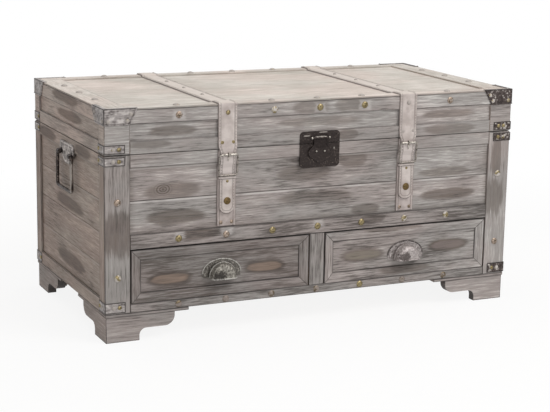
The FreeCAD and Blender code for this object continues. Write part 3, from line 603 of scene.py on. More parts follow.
def panel_wood(name, seed, wash, field, marks, side=False, joint_depth=0.7, knots=()):
    """A planked field: each plank has its own tone, its joints are dark with a painted highlight below
    each, it is paler towards the right as painted light, and it is darker along its border.
    """
    low, high = field
    middle = (low + high) / 2
    half = (high - low) / 2
    plank_count = max(2, round((high.z - low.z) / plank_width))
    plank_height = (high.z - low.z) / plank_count
    finish = Finish(name)
    facing = finish.facing
    x, y, z = finish.xyz
    along = y if side else x
    step = (z - low.z) / plank_height
    plank = finish.math("FLOOR", step)
    within = step - plank
    shifts = {0: plank * 0.37 + seed, 1: plank * 0.61 + seed, 2: seed}
    shift = finish.add("ShaderNodeCombineXYZ", {}, shifts)
    # Painted light: the front field is made paler towards its right end
    lift = 0.0 if side else along.rise(0.12, 0.42) * 0.16
    work = Brushwork(finish, wash, shift, along_y if side else along_x, lift)
    if side:
        work.tint(1.0, side_tint)
    outward = facing[0] * x.sign() if side else facing[1] * (y - middle_y).sign()
    outer = outward.over(0.5)
    work.rub(worn_marks(marks, along, z, work.ragged) * outer, 0.95 if side else 0.75)
    for knot_middle, level, half_length, half_height in knots:
        # Painted shade in the eyes where the bail hangs
        across = (along - knot_middle) / half_length
        rise = (z - level) / half_height
        reach = (across * across + rise * rise).root() + work.clouds * 0.5
        # Painted shade under the hasp's roll, then scratches and painted highlights
        rings = finish.math("SINE", reach * 20.0).rise(-0.2, 0.8) * reach.rise(1.2, 0.7)
        work.tint(rings.most(reach.rise(0.3, 0.1)) * outer * 0.75, rubbed_tint)
    # The bail is rubbed lighter in places, with a painted highlight on its front bar
    joint = within.least(1.0 - within) * plank_height
    below_joint = (1.0 - within) * plank_height
    # A painted highlight on the plank just below each joint
    beside = abs(below_joint - 0.0028).rise(0.0022, 0.0010) * work.clouds.rise(-0.12, -0.02)
    work.paint(beside * joint_depth, joint_highlight_colour)
    work.ink(joint.rise(0.0014, 0.0005), joint_depth)
    # The field is rubbed darker along its border
    from_end = (half.y if side else half.x) - abs(along - (middle.y if side else middle.x))
    border = from_end.least(half.z - abs(z - middle.z))
    work.rub(border.rise(0.016, 0.0) * (0.5 + work.bands * 1.5), 0.7)
    return work.surface()


def drawer_wood(name, node, seed, wash, marks, core_colours, smears=()):
    """A drawer front: a rubbed field inside a mitred frame, with dark lines at the mitres and the lip, and
    unwashed edges with painted shade on the faces that do not look forward.
    """
    low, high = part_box(node)
    middle = (low + high) / 2
    half = (high - low) / 2
    finish = Finish(name)
    x, y, z = finish.xyz
    from_side = half.x - abs(x - middle.x)
    from_end = half.z - abs(z - middle.z)
    border = from_side.least(from_end)
    in_frame = border.under(moulding_width)
    grain = finish.either(from_side.under(from_end) * in_frame, along_x, along_z)
    work = Brushwork(finish, wash, shift_of(seed), grain, in_frame * 0.08)
    work.rub(worn_marks([*marks, *smears], x, z, work.ragged), 0.9)
    for (along, level, length, rise, depth), core_colour in zip(marks, core_colours):
        core = worn_marks([(along, level, length * 0.8, rise * 0.6, depth)], x, z, work.ragged * 1.4)
        strength = core * (0.7 + work.lines * 2.0)
        work.paint(strength.most(0.0).least(1.0), core_colour)
    mitre = abs(from_side - from_end).rise(0.0013, 0.0005) * in_frame
    lip = abs(border - moulding_width).rise(0.0018, 0.0007)
    edge = border.rise(0.0016, 0.0006)
    work.ink(mitre.most(lip).most(edge), 0.9)
    # The faces that do not look forward are painted dark: the unwashed edges of the front, and painted
    # shade in the gaps round the drawer
    work.paint(finish.facing[1].rise(-0.5, -0.2) * 0.85, dark_line)
    return work.surface()


def plain_wood(name, grain, seed):
    """Unwashed wood inside the chest."""
    finish = Finish(name)
    shifted = finish.vector("ADD", finish.place, shift_of(seed))
    stretched = finish.vector("MULTIPLY", shifted, grain)
    rings = finish.cloud(stretched, 60, 4.0, 0.6)
    fine = finish.cloud(stretched, 420, 4.0, 0.6)
    colour = finish.mix((rings * 0.7 + fine * 0.3).rise(0.35, 0.65), *inner_tones)
    normal = finish.bump(rings + fine, 0.0004, 0.4)
    return finish.surface(base_color=colour, roughness=0.55 + fine * 0.2, normal=normal)


def brass(name, wash, wash_colour=metal_wash, light=brass_light):
    """Domed brass, tarnished, with the whitewash left on it in part."""
    finish = Finish(name)
    tone_mask = finish.cloud(finish.place, 420, 3.0)
    cover = (finish.cloud(finish.place, 160, 3.0) + wash - 0.5).rise(0.42, 0.6)
    colour = finish.mix(tone_mask.rise(0.3, 0.56), brass_dark, light)
    colour = finish.mix(cover, colour, wash_colour)
    normal = finish.bump(finish.cloud(finish.place, 700, 2.0), 0.0003, 0.4)
    roughness = 0.34 + cover * 0.3
    metallic = 0.95 - cover * 0.75
    return finish.surface(base_color=colour, roughness=roughness, metallic=metallic, normal=normal)


def touched(finish, colour, scuffs, touches):
    """A colour with marks over it; each touch gives its marks, their axis, raggedness and colour."""
    for marks, axis, spread, tone in touches:
        worn = worn_marks(marks, finish.xyz[axis], finish.xyz[2], (scuffs - 0.5) * spread)
        colour = finish.mix(worn, colour, tone)
    return colour


def hammered_metal(name, left_tones, right_tones, wash, boards=(), touches=()):
    """Hammered sheet metal in three tones, which may differ from left to right."""
    finish = Finish(name)
    on_right = finish.xyz[0].over(0.0)
    colours = [finish.mix(on_right, a, b) for a, b in zip(left_tones, right_tones)]
    dents = finish.dents(150)
    strokes = finish.vector("MULTIPLY", finish.place, finish.either(on_right, (0.25, 0.25, 1), (1, 1, 1)))
    scuffs = finish.cloud(strokes, 260, 4.0, 0.65)
    clouds = finish.cloud(finish.place, 60, 3.0)
    cover = wash + (scuffs - 0.5) * 1.9 + (clouds - 0.5) * 0.9 + (dents - 0.45) * 0.6
    colour = finish.tones(cover, colours, (0.1, 0.5, 0.55, 0.9))
    if boards:
        edge = edge_distance(finish, boards).rise(0.0026, 0.0010)
        colour = finish.mix(edge * (0.5 + scuffs * 0.7).least(1.0), colour, dark_line)
    colour = touched(finish, colour, scuffs, touches)
    normal = finish.bump(scuffs * 0.35 - dents, 0.0018, 0.8)
    return finish.surface(base_color=colour, roughness=0.42 + scuffs * 0.25, metallic=0.45, normal=normal)


def cup_metal(name, side, *tones):
    """The hammered metal of a drawer pull, with painted shade at its lower left."""
    shade_level, shade_half_length, shade_half_height = 0.007, 0.012, 0.009
    low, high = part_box("cup_pull_" + side)
    finish = Finish(name)
    x, y, z = finish.xyz
    dents = finish.dents(210)
    scuffs = finish.cloud(finish.place, 330, 4.0, 0.65)
    # Painted shade: the cup is darkened at its lower left
    across = (x - (low.x * 0.64 + high.x * 0.36)) / shade_half_length
    rise = (z - low.z - shade_level) / shade_half_height
    tone_mask = (across * across + rise * rise + (scuffs - 0.5) * 1.5).rise(1.8, 0.1)
    cover = 0.55 + (scuffs - 0.5) * 2.0 + (dents - 0.45) * 0.7 - tone_mask * 0.75
    colour = finish.tones(cover, shades(*tones), (0.05, 0.45, 0.5, 0.95))
    normal = finish.bump(scuffs * 0.3 - dents, 0.0016, 0.8)
    return finish.surface(base_color=colour, roughness=0.38 + scuffs * 0.25, metallic=0.55, normal=normal)


def dark_iron(name, rubbed, touches):
    """Brown-black hammered iron, rubbed lighter in places."""
    finish = Finish(name)
    dents = finish.dents(190)
    scuffs = finish.cloud(finish.place, 260, 4.0, 0.65)
    clouds = finish.cloud(finish.place, 50, 2.0)
    bare = (scuffs * 0.8 + clouds * 0.2 + rubbed).rise(0.54, 0.74)
    colour = touched(finish, finish.mix(bare, iron_dark, iron_light), scuffs, touches)
    normal = finish.bump(scuffs * 0.4 - dents, 0.0015, 0.8)
    return finish.surface(base_color=colour, roughness=0.4 + scuffs * 0.2, metallic=0.6, normal=normal)


def aged_steel(name, tones):
    finish = Finish(name)
    scuffs = finish.cloud(finish.place, 350, 4.0, 0.6)
    colour = finish.mix(scuffs.rise(0.3, 0.6), *tones)
    normal = finish.bump(scuffs, 0.0003, 0.4)
    return finish.surface(base_color=colour, roughness=0.28 + scuffs * 0.25, metallic=0.9, normal=normal)


def leather(name, tones, narrows=False, tip=0.0):
    """Pale washed leather: a fine grain, soft creases and dark lines at its edges, with painted light that
    makes it paler in the buckle and on faces that look up.
    """
    fade = 0.004
    finish = Finish(name)
    facing = finish.facing
    x, y, z = finish.xyz
    half = strap_half
    if narrows:
        half = tail_half + z.rise(body_top - strap_ease, lid_bottom + strap_ease) * (strap_half - tail_half)
    beside = (abs(abs(x) + strap_x) - (half - tail_tip_radius)).most(0.0)
    below = (tip + tail_tip_radius - z).most(0.0)
    from_edge = tail_tip_radius - (beside * beside + below * below).root()
    grain = finish.dents(900)
    stains = finish.cloud(finish.place, 38, 4.0, 0.6)
    creases = finish.cloud(finish.vector("MULTIPLY", finish.place, (0.35, 1, 1)), 130, 4.0, 0.6)
    colour = finish.mix(stains.rise(0.35, 0.68), *tones)
    colour = finish.mix(creases.rise(0.56, 0.7) * 0.35, colour, tones[0])
    # Painted light: paler within the buckle, where its frame and roller shade the strap
    buckled = z.rise(buckle_low - fade, buckle_low + fade) * z.rise(buckle_top + fade, buckle_top - fade)
    colour = finish.mix(buckled * 0.8, colour, buckle_leather)
    welt = abs(from_edge - welt_inset).rise(0.0012, 0.0003) * 0.55
    edge = from_edge.rise(0.0016, 0.0004) * 0.9
    # Painted light: paler on faces that look up
    colour = finish.mix(facing[2].rise(0.5, 0.9) * 0.7, colour, lit_top_leather)
    colour = finish.mix(welt.most(edge) * (0.6 + stains * 0.7).least(1.0), colour, leather_line)
    colour = finish.mix(abs(facing[0]).rise(0.6, 0.9) * 0.6, colour, tones[0])
    normal = finish.bump(grain * 0.5 + creases, 0.0006, 0.45)
    return finish.surface(base_color=colour, roughness=0.52 + grain * 0.2, normal=normal)


def band_leather(name):
    """The leather of the keepers, dark along their upper and lower edges."""
    finish = Finish(name)
    grain = finish.dents(900)
    stains = finish.cloud(finish.place, 38, 4.0, 0.6)
    edge = (keeper_height / 2 - abs(finish.xyz[2] - keeper_level)).rise(0.0015, 0.0005)
    colour = finish.mix(stains.rise(0.35, 0.68), *strap_tones)
    colour = finish.mix(edge * 0.85, colour, leather_line)
    normal = finish.bump(grain, 0.0003, 0.45)
    return finish.surface(base_color=colour, roughness=0.52 + grain * 0.2, normal=normal)


def thread(name):
    finish = Finish(name)
    twist = finish.cloud(finish.place, 1800, 2.0)
    colour = finish.mix(twist.rise(0.35, 0.65), leather_line, thread_colour)
    return finish.surface(base_color=colour, roughness=0.8, normal=finish.bump(twist, 0.0003, 0.5))


def skin(rings, closed=True, loop=False):
    """A shell, which is points and faces, through rings of as many points each."""
    count = len(rings[0])
    points = [point for ring in rings for point in ring]
    faces = []
    for i in range(len(rings) if loop else len(rings) - 1):
        near = i * count
        far = (i + 1) % len(rings) * count
        for j in range(count if closed else count - 1):
            k = (j + 1) % count
            faces.append((near + j, near + k, far + k, far + j))
    if closed and not loop:
        faces.append(tuple(reversed(range(count))))
        faces.append(tuple(range(len(points) - count, len(points))))
    return points, faces


def piece(name, material, *shells, crease=40.0):
    """One smooth mesh from shells, with its sharp edges kept and all its faces turned outward."""
    points = []
    faces = []
    for shell_points, shell_faces in shells:
        start = len(points)
        points.extend(tuple(point) for point in shell_points)
        faces.extend(tuple(start + index for index in face) for face in shell_faces)
    mesh = bpy.data.meshes.new(name)
    mesh.from_pydata(points, [], faces)
    mesh.validate()
    mesh.polygons.foreach_set("use_smooth", [True] * len(mesh.polygons))
    mesh.set_sharp_from_angle(angle=math.radians(crease))
    mesh.materials.append(material)
    obj = bpy.data.objects.new(name, mesh)
    bpy.context.scene.collection.objects.link(obj)
    work = bmesh.new()
    work.from_mesh(mesh)
    bmesh.ops.recalc_face_normals(work, faces=work.faces)
    work.to_mesh(mesh)
    work.free()
    return obj


def fit(obj, body, slot, *replaced):
    """Hangs a piece on a body, in place of CAD nodes if any are named."""
    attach(obj, body)
    if replaced:
        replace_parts(obj, *replaced)
    return obj


def spokes(first, second, radius, sides):
    """The points of a round section, from its middle."""
    turns = [2 * math.pi * i / sides for i in range(sides)]
    return [(first * math.cos(turn) + second * math.sin(turn)) * radius for turn in turns]


def turned(profile, middle, outward, sides=16):
    """A round shell from radii and heights along its axis."""
    first = (up.cross(outward) if abs(outward.z) < 0.9 else right).normalized()
    second = outward.cross(first).normalized()
    rings = []
    for radius, height in profile:
        rings.append([middle + outward * height + spoke for spoke in spokes(first, second, radius, sides)])
    return skin(rings)


def head(base, outward, radius, rise, sides=14):
    """A domed head with a thin rim at its foot."""
    steps = 7
    foot = rise * 0.12
    profile = [(radius * 0.97, -foot), (radius, foot)]
    for i in range(1, steps):
        angle = math.pi / 2 * i / steps
        profile.append((radius * 0.94 * math.cos(angle), foot + (rise - foot) * math.sin(angle)))
    profile.append((radius * 0.08, rise))
    return turned(profile, base, outward, sides)


def rounded(points, cuts, steps=4):
    """A path with its corners cut back, all alike or each by its own length, and curved."""
    if isinstance(cuts, float):
        cuts = [cuts] * (len(points) - 2)
    path = [points[0]]
    for before, corner, after, cut in zip(points, points[1:], points[2:], cuts):
        near = corner + (before - corner).normalized() * min(cut, (before - corner).length * 0.48)
        far = corner + (after - corner).normalized() * min(cut, (after - corner).length * 0.48)
        for i in range(steps + 1):
            share = i / steps
            path.append(near.lerp(corner, share).lerp(corner.lerp(far, share), share))
    return path + [points[-1]]


def stepped(path, pitch):
    """A path with points added along its long runs."""
    points = [path[0]]
    for near, far in zip(path, path[1:]):
        count = max(1, math.ceil((far - near).length / pitch))
        points.extend(near.lerp(far, i / count) for i in range(1, count + 1))
    return points


def tangents(path, loop=False):
    count = len(path)
    if loop:
        return [(path[(i + 1) % count] - path[i - 1]).normalized() for i in range(count)]
    return [(path[min(i + 1, count - 1)] - path[max(i - 1, 0)]).normalized() for i in range(count)]


def tube(path, radii, across, sides=8, loop=False):
    """A round rod, of one radius or many, along a path that lies in the plane square to across."""
    if isinstance(radii, float):
        radii = [radii] * len(path)
    rings = []
    for point, along, radius in zip(path, tangents(path, loop), radii):
        second = along.cross(across).normalized()
        rings.append([point + spoke for spoke in spokes(across, second, radius, sides)])
    return skin(rings, loop=loop)


def side_view(x, *places):
    return [Vector((x, y, z)) for y, z in places]


# Straps


def ribbon(name, path, widths, thick, material, waves):
    """A strap along a path in the plane of Y and Z, with a welt along both of its edges."""
    wave_scale = 55
    section = [(-share, rise) for share, rise in strap_section] + list(reversed(strap_section))
    rings = []
    for point, along, half in zip(path, tangents(path), widths):
        outward = Vector((0, along.z, -along.y))
        ring = []
        for share, rise in section:
            place = point + right * (share * half)
            ripple = noise.noise(place * wave_scale) * waves if rise > 0 else 0.0
            ring.append(place + outward * (rise * thick + ripple))
        rings.append(ring)
    return piece(name, material, skin(rings), crease=60)


def tail_widths(path, tip):
    """Half widths along a strap that narrows at the seam and ends in a rounded tip."""
    ease_run = lid_bottom - body_top + 2 * strap_ease
    widths = []
    for point in path:
        share = min(1.0, max(0.0, (point.z - body_top + strap_ease) / ease_run))
        half = tail_half + (strap_half - tail_half) * share * share * (3 - 2 * share)
        left_over = max(0.0, min(point.z - tip, tail_tip_radius))
        inset = tail_tip_radius - math.sqrt(tail_tip_radius**2 - (tail_tip_radius - left_over) ** 2)
        widths.append(half - inset)
    return widths


def stitch(middle, along, outward, radius):
    """One stitch, whose ends dip into the leather."""
    half_length = 0.0019
    rings = []
    for share, girth in ((-1, 0.35), (-0.7, 1), (0.7, 1), (1, 0.35)):
        sink = outward * (-radius * 1.2 * abs(share) ** 4)
        place = middle + along * (half_length * share)
        rings.append([place + spoke + sink for spoke in spokes(right, outward, radius * girth, 6)])
    return skin(rings)


def stitches(name, path, widths):
    """Rows of thread along both welts of a strap."""
    pitch, inset, radius = 0.0058, 0.0032, 0.00042
    shells = []
    travelled = 0.0
    for near, far, half_near, half_far in zip(path, path[1:], widths, widths[1:]):
        run = (far - near).length
        along = (far - near).normalized()
        outward = Vector((0, along.z, -along.y))
        while travelled < run:
            middle = near + along * travelled + outward * (strap_thick + radius * 0.5)
            half = half_near + (half_far - half_near) * travelled / run
            if half > tail_half * 0.9:
                for turn in (-1, 1):
                    shells.append(stitch(middle + right * turn * (half - inset), along, outward, radius))
            travelled += pitch
        travelled -= run
    return piece(name, strap_thread, *shells)


def long_strap(side, x):
    """One strap from the back of the lid over its top and front, and on down as the loose tail."""
    tip_steps = 10
    body = "strap_tail_" + side
    tip = tail_box[0].z
    back_rim = back_y - rim
    front_rim = front_y + rim
    corners = side_view(
        x,
        (back_y + strap_gap, lid_top - strap_back_drop),
        (back_y + strap_gap, lid_top + strap_gap),
        (back_rim, lid_top + strap_gap),
        (back_rim - strap_thick, lid_field + strap_gap),
        (front_rim + strap_thick, lid_field + strap_gap),
        (front_rim, lid_top + strap_gap),
        (front_y - strap_gap, lid_top + strap_gap),
        (front_y - strap_gap, lid_bottom + tail_lead),
        (front_y - tail_gap, body_top),
        (front_y - tail_gap, top_rail_bottom),
        (panel_y - tail_gap, top_rail_bottom - strap_slope),
        (panel_y - tail_gap, tip + tail_tip_radius),
    )
    path = stepped(rounded(corners, strap_bend), strap_pitch)
    bottom = path[-1]
    for i in range(1, tip_steps + 1):
        turn = math.pi / 2 * i / tip_steps
        path.append(Vector((x, bottom.y, bottom.z - tail_tip_radius * math.sin(turn))))
    widths = tail_widths(path, tip)
    strap = ribbon("long_strap_" + side, path, widths, strap_thick, strap_leather, 0.0003)
    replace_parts(strap, "upper_strap_" + side, body)
    for part in (strap, stitches("stitches_" + side, path, widths)):
        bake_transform(part)


def low_strap(side, x):
    """The strap on the body, which shows beside and below the loose tail."""
    thick = strap_thick * 0.96
    corners = side_view(
        x,
        (front_y - strap_gap, low_strap_box[1].z),
        (front_y - strap_gap, top_rail_bottom),
        (panel_y - strap_gap, top_rail_bottom - strap_slope),
        (panel_y - strap_gap, low_strap_box[0].z),
    )
    path = stepped(rounded(corners, strap_bend), strap_pitch)
    strap = ribbon("low_strap_" + side, path, [strap_half] * len(path), thick, low_leather, 0.0002)
    return fit(strap, "carcass", "leather")


# Buckles


def buckle_frame(side, x):
    """A bent wire that leans back with the strap."""
    top_left, top_right = (Vector((x + turn * buckle_half, buckle_top_y, buckle_top)) for turn in (-1, 1))
    low_left, low_right = (Vector((x + turn * buckle_half, buckle_low_y, buckle_low)) for turn in (-1, 1))
    middle_top = (top_left + top_right) / 2
    corners = [middle_top, top_left, low_left, low_right, top_right, middle_top]
    outline = rounded(corners, buckle_corner, 6)[:-1]
    across = (low_right - low_left).cross(top_left - low_left).normalized()
    wire = tube(outline, wire_radius, across, 14, loop=True)
    obj = piece("buckle_frame_" + side, buckle_steel, wire)
    fit(obj, "strap_tail_" + side, "aged_steel", "strap_fittings_" + side)


def buckle_roller(side, x):
    """A roller in two halves on the frame's upper bar, with a curled prong between them."""
    gap, bevel = 0.0028, 0.0006
    prong_radius, prong_tip_radius = 0.0013, 0.0008
    curl_gap, prong_arch, prong_lift, prong_drop = 0.0012, 0.0012, 0.0010, 0.0125
    middle = Vector((x, buckle_top_y, buckle_top))
    reach = buckle_half - buckle_corner * 0.7
    bore, shoulder = roller_radius * 0.55, roller_radius * 0.92
    profile = [(bore, gap), (shoulder, gap), (roller_radius, gap + bevel)]
    profile += [(roller_radius, reach - bevel), (shoulder, reach), (bore, reach)]
    halves = [turned(profile, middle, right * turn) for turn in (-1, 1)]
    curl = []
    for i in range(11):
        angle = math.radians(130 - 26 * i)
        curl.append(middle + Vector((0, -math.cos(angle), math.sin(angle))) * (roller_radius + curl_gap))
    tip = Vector((x, front_y - tail_gap - strap_thick - prong_lift, buckle_top - prong_drop))
    path = curl + [curl[-1].lerp(tip, 0.5) + front * prong_arch, tip]
    prong = tube(path, [prong_radius] * (len(path) - 1) + [prong_tip_radius], right, 10)
    fit(piece("buckle_roller_" + side, bright_steel, *halves, prong), "strap_tail_" + side, "aged_steel")


def snap(side, x):
    """The domed press stud on the tail."""
    steps = 8
    sunk, foot, rim_top, groove = -0.0001, 0.0005, 0.0009, 0.0007
    low, high = snap_box
    radius = (high.x - low.x) / 2
    rise = high.y - low.y
    profile = [(radius * 0.96, sunk), (radius, foot), (radius * 0.93, rim_top), (radius * 0.84, groove)]
    for i in range(steps):
        angle = math.pi / 2 * i / steps
        profile.append((radius * 0.82 * math.cos(angle), groove + (rise - groove) * math.sin(angle)))
    dome = turned(profile, Vector((x, high.y, (low.z + high.z) / 2)), front, 28)
    fit(piece("snap_" + side, snap_brass, dome), "strap_tail_" + side, "aged_steel")


def keeper(side, x):
    """The leather band across the tail under the buckle's lower bar, and the rivet below it."""
    slack, bend, rivet_drop = 0.0006, 0.0012, 0.0125
    body = "strap_tail_" + side
    half = tail_half + slack
    tail_back = panel_y - tail_gap
    tail_face = tail_back - strap_thick
    corners = [(x - half, tail_back), (x - half, tail_face), (x + half, tail_face), (x + half, tail_back)]
    path = rounded([Vector((place, y, keeper_level)) for place, y in corners], bend)
    rings = []
    for point, along in zip(path, tangents(path)):
        rise = up * (keeper_height / 2)
        out = along.cross(up) * keeper_thick
        rings.append([point + rise * height + out * thick for height, thick in keeper_section])
    fit(piece("keeper_" + side, keeper_leather, skin(rings), crease=50), body, "leather")
    rivet = head(Vector((x, tail_face, buckle_low - rivet_drop)), front, 0.0028, 0.0016, 16)
    fit(piece("tail_rivet_" + side, bright_brass, rivet), body, "brass")


# Tacks

small_tack = 0.005
bottom_rail_reach = 0.06


def tack_places(node):
    """The base, outward direction, radius and rise of each tack of a CAD node."""
    places = []
    for low, high in solids_of(node):
        middle = (low + high) / 2
        size = high - low
        if size.y < size.z:
            places.append((Vector((middle.x, high.y, middle.z)), front, size.x / 2, size.y))
        else:
            places.append((Vector((middle.x, middle.y, low.z)), up, size.x / 2, size.z))
    return places


def on_lid_strap(base):
    return abs(abs(base.x) + strap_x) < small_tack and base.z > lid_bottom


def tack_finish(base, outward, radius):
    """Which finish a tack has: those on top and along the bottom rail have kept more of the wash."""
    on_right = base.x > 0
    along = round(base.x / tack_step)
    if outward.z > 0.5:
        return "washed"
    if radius < small_tack and base.z < lid_bottom:
        return "copper"
    if radius < small_tack or on_lid_strap(base):
        return "washed" if on_right else "brass"
    if base.z < panel_bottom + bottom_rail_reach:
        return "brass" if along == 1 else "grey"
    if base.z > lid_bottom:
        return {-3: "copper", -1: "worn", 3: "copper"}.get(along, "brass")
    if abs(base.x) > stile_x:
        return "worn" if (base.z > rail_top) == on_right else "copper"
    return {-2: "copper", 2: "worn", 3: "worn"}.get(along, "brass")


def tacks(node, body):
    """Domed heads, smaller where they hold the straps on the lid."""
    groups = {}
    for base, outward, radius, rise in tack_places(node):
        on_top = outward.z > 0.5
        on_strap = radius > small_tack and on_lid_strap(base)
        grow = (0.6 if on_top else 0.72) if on_strap else 1.08
        swell = 1.5 if on_top and not on_strap else 1.15
        shell = head(base, outward, radius * grow, rise * swell, 18)
        groups.setdefault(tack_finish(base, outward, radius), []).append(shell)
    pieces = [piece(node + "_" + key, tack_finishes[key], *shells) for key, shells in groups.items()]
    for obj in pieces:
        fit(obj, body, "brass")
    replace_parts(pieces[0], node)


# Drawer pulls

ear_height = 0.009
pull_plate = 0.0016
cup_half = 0.028
cup_height = 0.031
cup_wall = 0.0014
cup_spring = cup_height - cup_half
cup_inside = cup_half - 0.001

# Section of the flange, from the cup outward: share of its width, share of its thickness
flange_section = ((0, 0), (0, 1), (0.25, 1.35), (0.5, 1.0), (0.8, 1.05), (0.93, 0.9), (1, 0.45), (1, 0))

# Sections of an ear, from the cup outward: share of its length, thickness and height, and its foot's rise
ear_sections = ((0.0, 0.7, 1.0, 0.0), (0.12, 1.0, 1.0, 0.0), (0.88, 1.0, 1.0, 0.0), (1.0, 0.6, 0.75, 0.002))


def cup_arch(foot, half, dent):
    """One arch of the cup over the middle of its foot, dented by the hammer."""
    steps = 30
    dent_scale = 210
    turns = [math.pi * i / steps for i in range(steps + 1)]
    legs = [(half, cup_spring * share) for share in (0.0, 0.5)]
    places = legs + [(half * math.cos(turn), cup_spring + half * math.sin(turn)) for turn in turns]
    places += [(-x, z) for x, z in reversed(legs)]
    points = [foot + Vector((x, 0, z)) for x, z in places]
    return [point + front * (noise.noise(point * dent_scale) * dent) for point in points]


def cup_arches(foot, reach):
    """The arches of the cup, from its plate forward."""
    steps = 18
    deepest = 0.0005
    arches = []
    for i in range(steps + 1):
        turn = math.pi / 2 * (1 - (1 - i / steps) ** 2.2)
        girth = max(max(0.0, math.cos(turn)) ** 0.32, 0.002)
        out = front * (reach * math.sin(turn) ** 0.8)
        arches.append(cup_arch(foot + out, cup_half * girth, deepest * min(1.0, i / 4)))
    return arches


def pull_cup(side, foot, reach):
    """A hammered cup, open below, with a rolled lip and a bead at its root."""
    lip_radius, bead_radius, bead_out = 0.0016, 0.0010, 0.0004
    body = "drawer_" + side
    cup_finish, ground_finish, rim_finish = pull_metals[side]
    lip_finish = rim_finish if side == "left" else cup_finish
    arches = cup_arches(foot, reach)
    cup = piece("cup_" + side, cup_finish, skin(arches, closed=False), crease=75)
    wall = cup.modifiers.new("wall", "SOLIDIFY")
    wall.thickness = cup_wall
    wall.offset = -1
    fit(cup, body, "washed_metal", "cup_pull_" + side)
    edge = [arch[0] for arch in arches] + [arch[-1] for arch in reversed(arches)]
    lip = tube(edge, lip_radius, up, 10)
    bead = tube([point + front * bead_out for point in arches[1]], bead_radius, front)
    fit(piece("pull_lip_" + side, lip_finish, lip), body, "washed_metal")
    fit(piece("pull_bead_" + side, lip_finish, bead), body, "washed_metal")


def pull_ear(start, turn, flange_half):
    """A flat ear beside the cup, and its screw."""
    screw_inset = 0.0068
    rings = []
    for share, thick, tall, cut in ear_sections:
        x = turn * (cup_inside + (flange_half - cup_inside) * share)
        out = -pull_plate * thick
        top = ear_height * tall
        rings.append([start + Vector((x, y, z)) for y, z in ((0, cut), (0, top), (out, top), (out, cut))])
    at = start + Vector((turn * (flange_half - screw_inset), -pull_plate * 0.9, ear_height * 0.55))
    return [skin(rings), head(at, front, 0.0034, 0.0016, 16)]


def pull_flange(side, start, flange_half, flange_rise):
    """The arched flange round the cup with its rolled rim, and an ear at each end."""
    steps = 40
    rim_radius = 0.0014
    body = "drawer_" + side
    cup_finish, ground_finish, rim_finish = pull_metals[side]
    edge = []
    rings = []
    for i in range(steps + 1):
        across, rise = math.cos(math.pi * i / steps), math.sin(math.pi * i / steps)
        inner = Vector((across * cup_inside, 0, max(cup_spring + rise * cup_inside, 0.0)))
        outer = Vector((across * flange_half, 0, ear_height + rise * (flange_rise - ear_height)))
        edge.append(start + outer * 0.985 + front * (pull_plate * 0.75))
        ring = []
        for share, thick in flange_section:
            ring.append(start + inner.lerp(outer, share) + front * (pull_plate * thick))
        rings.append(ring)
    fit(piece("pull_rim_" + side, rim_finish, tube(edge, rim_radius, front, 10)), body, "washed_metal")
    ears = pull_ear(start, -1, flange_half) + pull_ear(start, 1, flange_half)
    fit(piece("pull_flange_" + side, ground_finish, skin(rings), *ears), body, "washed_metal")


def pull(side):
    """A hammered cup on an arched flange with a screw in each ear."""
    low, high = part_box("cup_pull_" + side)
    start = Vector(((low.x + high.x) / 2, high.y, low.z))
    pull_cup(side, start + front * pull_plate, high.y - pull_plate - low.y)
    pull_flange(side, start, (high.x - low.x) / 2, high.z - low.z)


# Handles


def bail(side):
    """A bent rod that hangs from the two eyes of the handle's plate."""
    pin_end, shoulder_step, bend, pitch, pin_reach = 0.028, 0.004, 0.010, 0.006, 0.002
    low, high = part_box("bail_" + side)
    middle = (low.y + high.y) / 2
    grip = (high.y - low.y) / 2 - bail_radius
    eye_z = high.z - bail_radius
    half = [(pin_end, eye_z), (grip - shoulder_step, eye_z), (grip, low.z + bail_radius)]
    places = [(middle + y, z) for y, z in half] + [(middle - y, z) for y, z in reversed(half)]
    path = stepped(rounded(side_view((low.x + high.x) / 2, *places), bend, 8), pitch)
    radii = [bail_radius * (0.9 if point.z > eye_z - pin_reach else 1.15) for point in path]
    obj = piece("hanging_bail_" + side, bail_iron, tube(path, radii, right, 18))
    fit(obj, "bail_" + side, "dark_iron", "bail_" + side)


def scroll(at, hand, low, high):
    """A stem that rises from the plate's tab and curls in under its shoulder, and its radii."""
    curl_steps, curl_radius, curl_y, curl_drop = 30, 0.0085, 0.0185, 0.0135
    stem = ((0.002, low.z + 0.010), (0.004, low.z + 0.022), (0.009, high.z - 0.008))
    path = [at(hand * y, z) for y, z in stem]
    for i in range(curl_steps):
        angle = math.radians(90 + 17 * i)
        radius = curl_radius * (1 - i / 34)
        y = hand * (curl_y + radius * math.cos(angle))
        path.append(at(y, high.z - curl_drop + radius * math.sin(angle)))
    radii = [0.0007 + 0.0006 * math.sin(math.pi * i / (len(path) - 1)) for i in range(len(path))]
    return path, radii


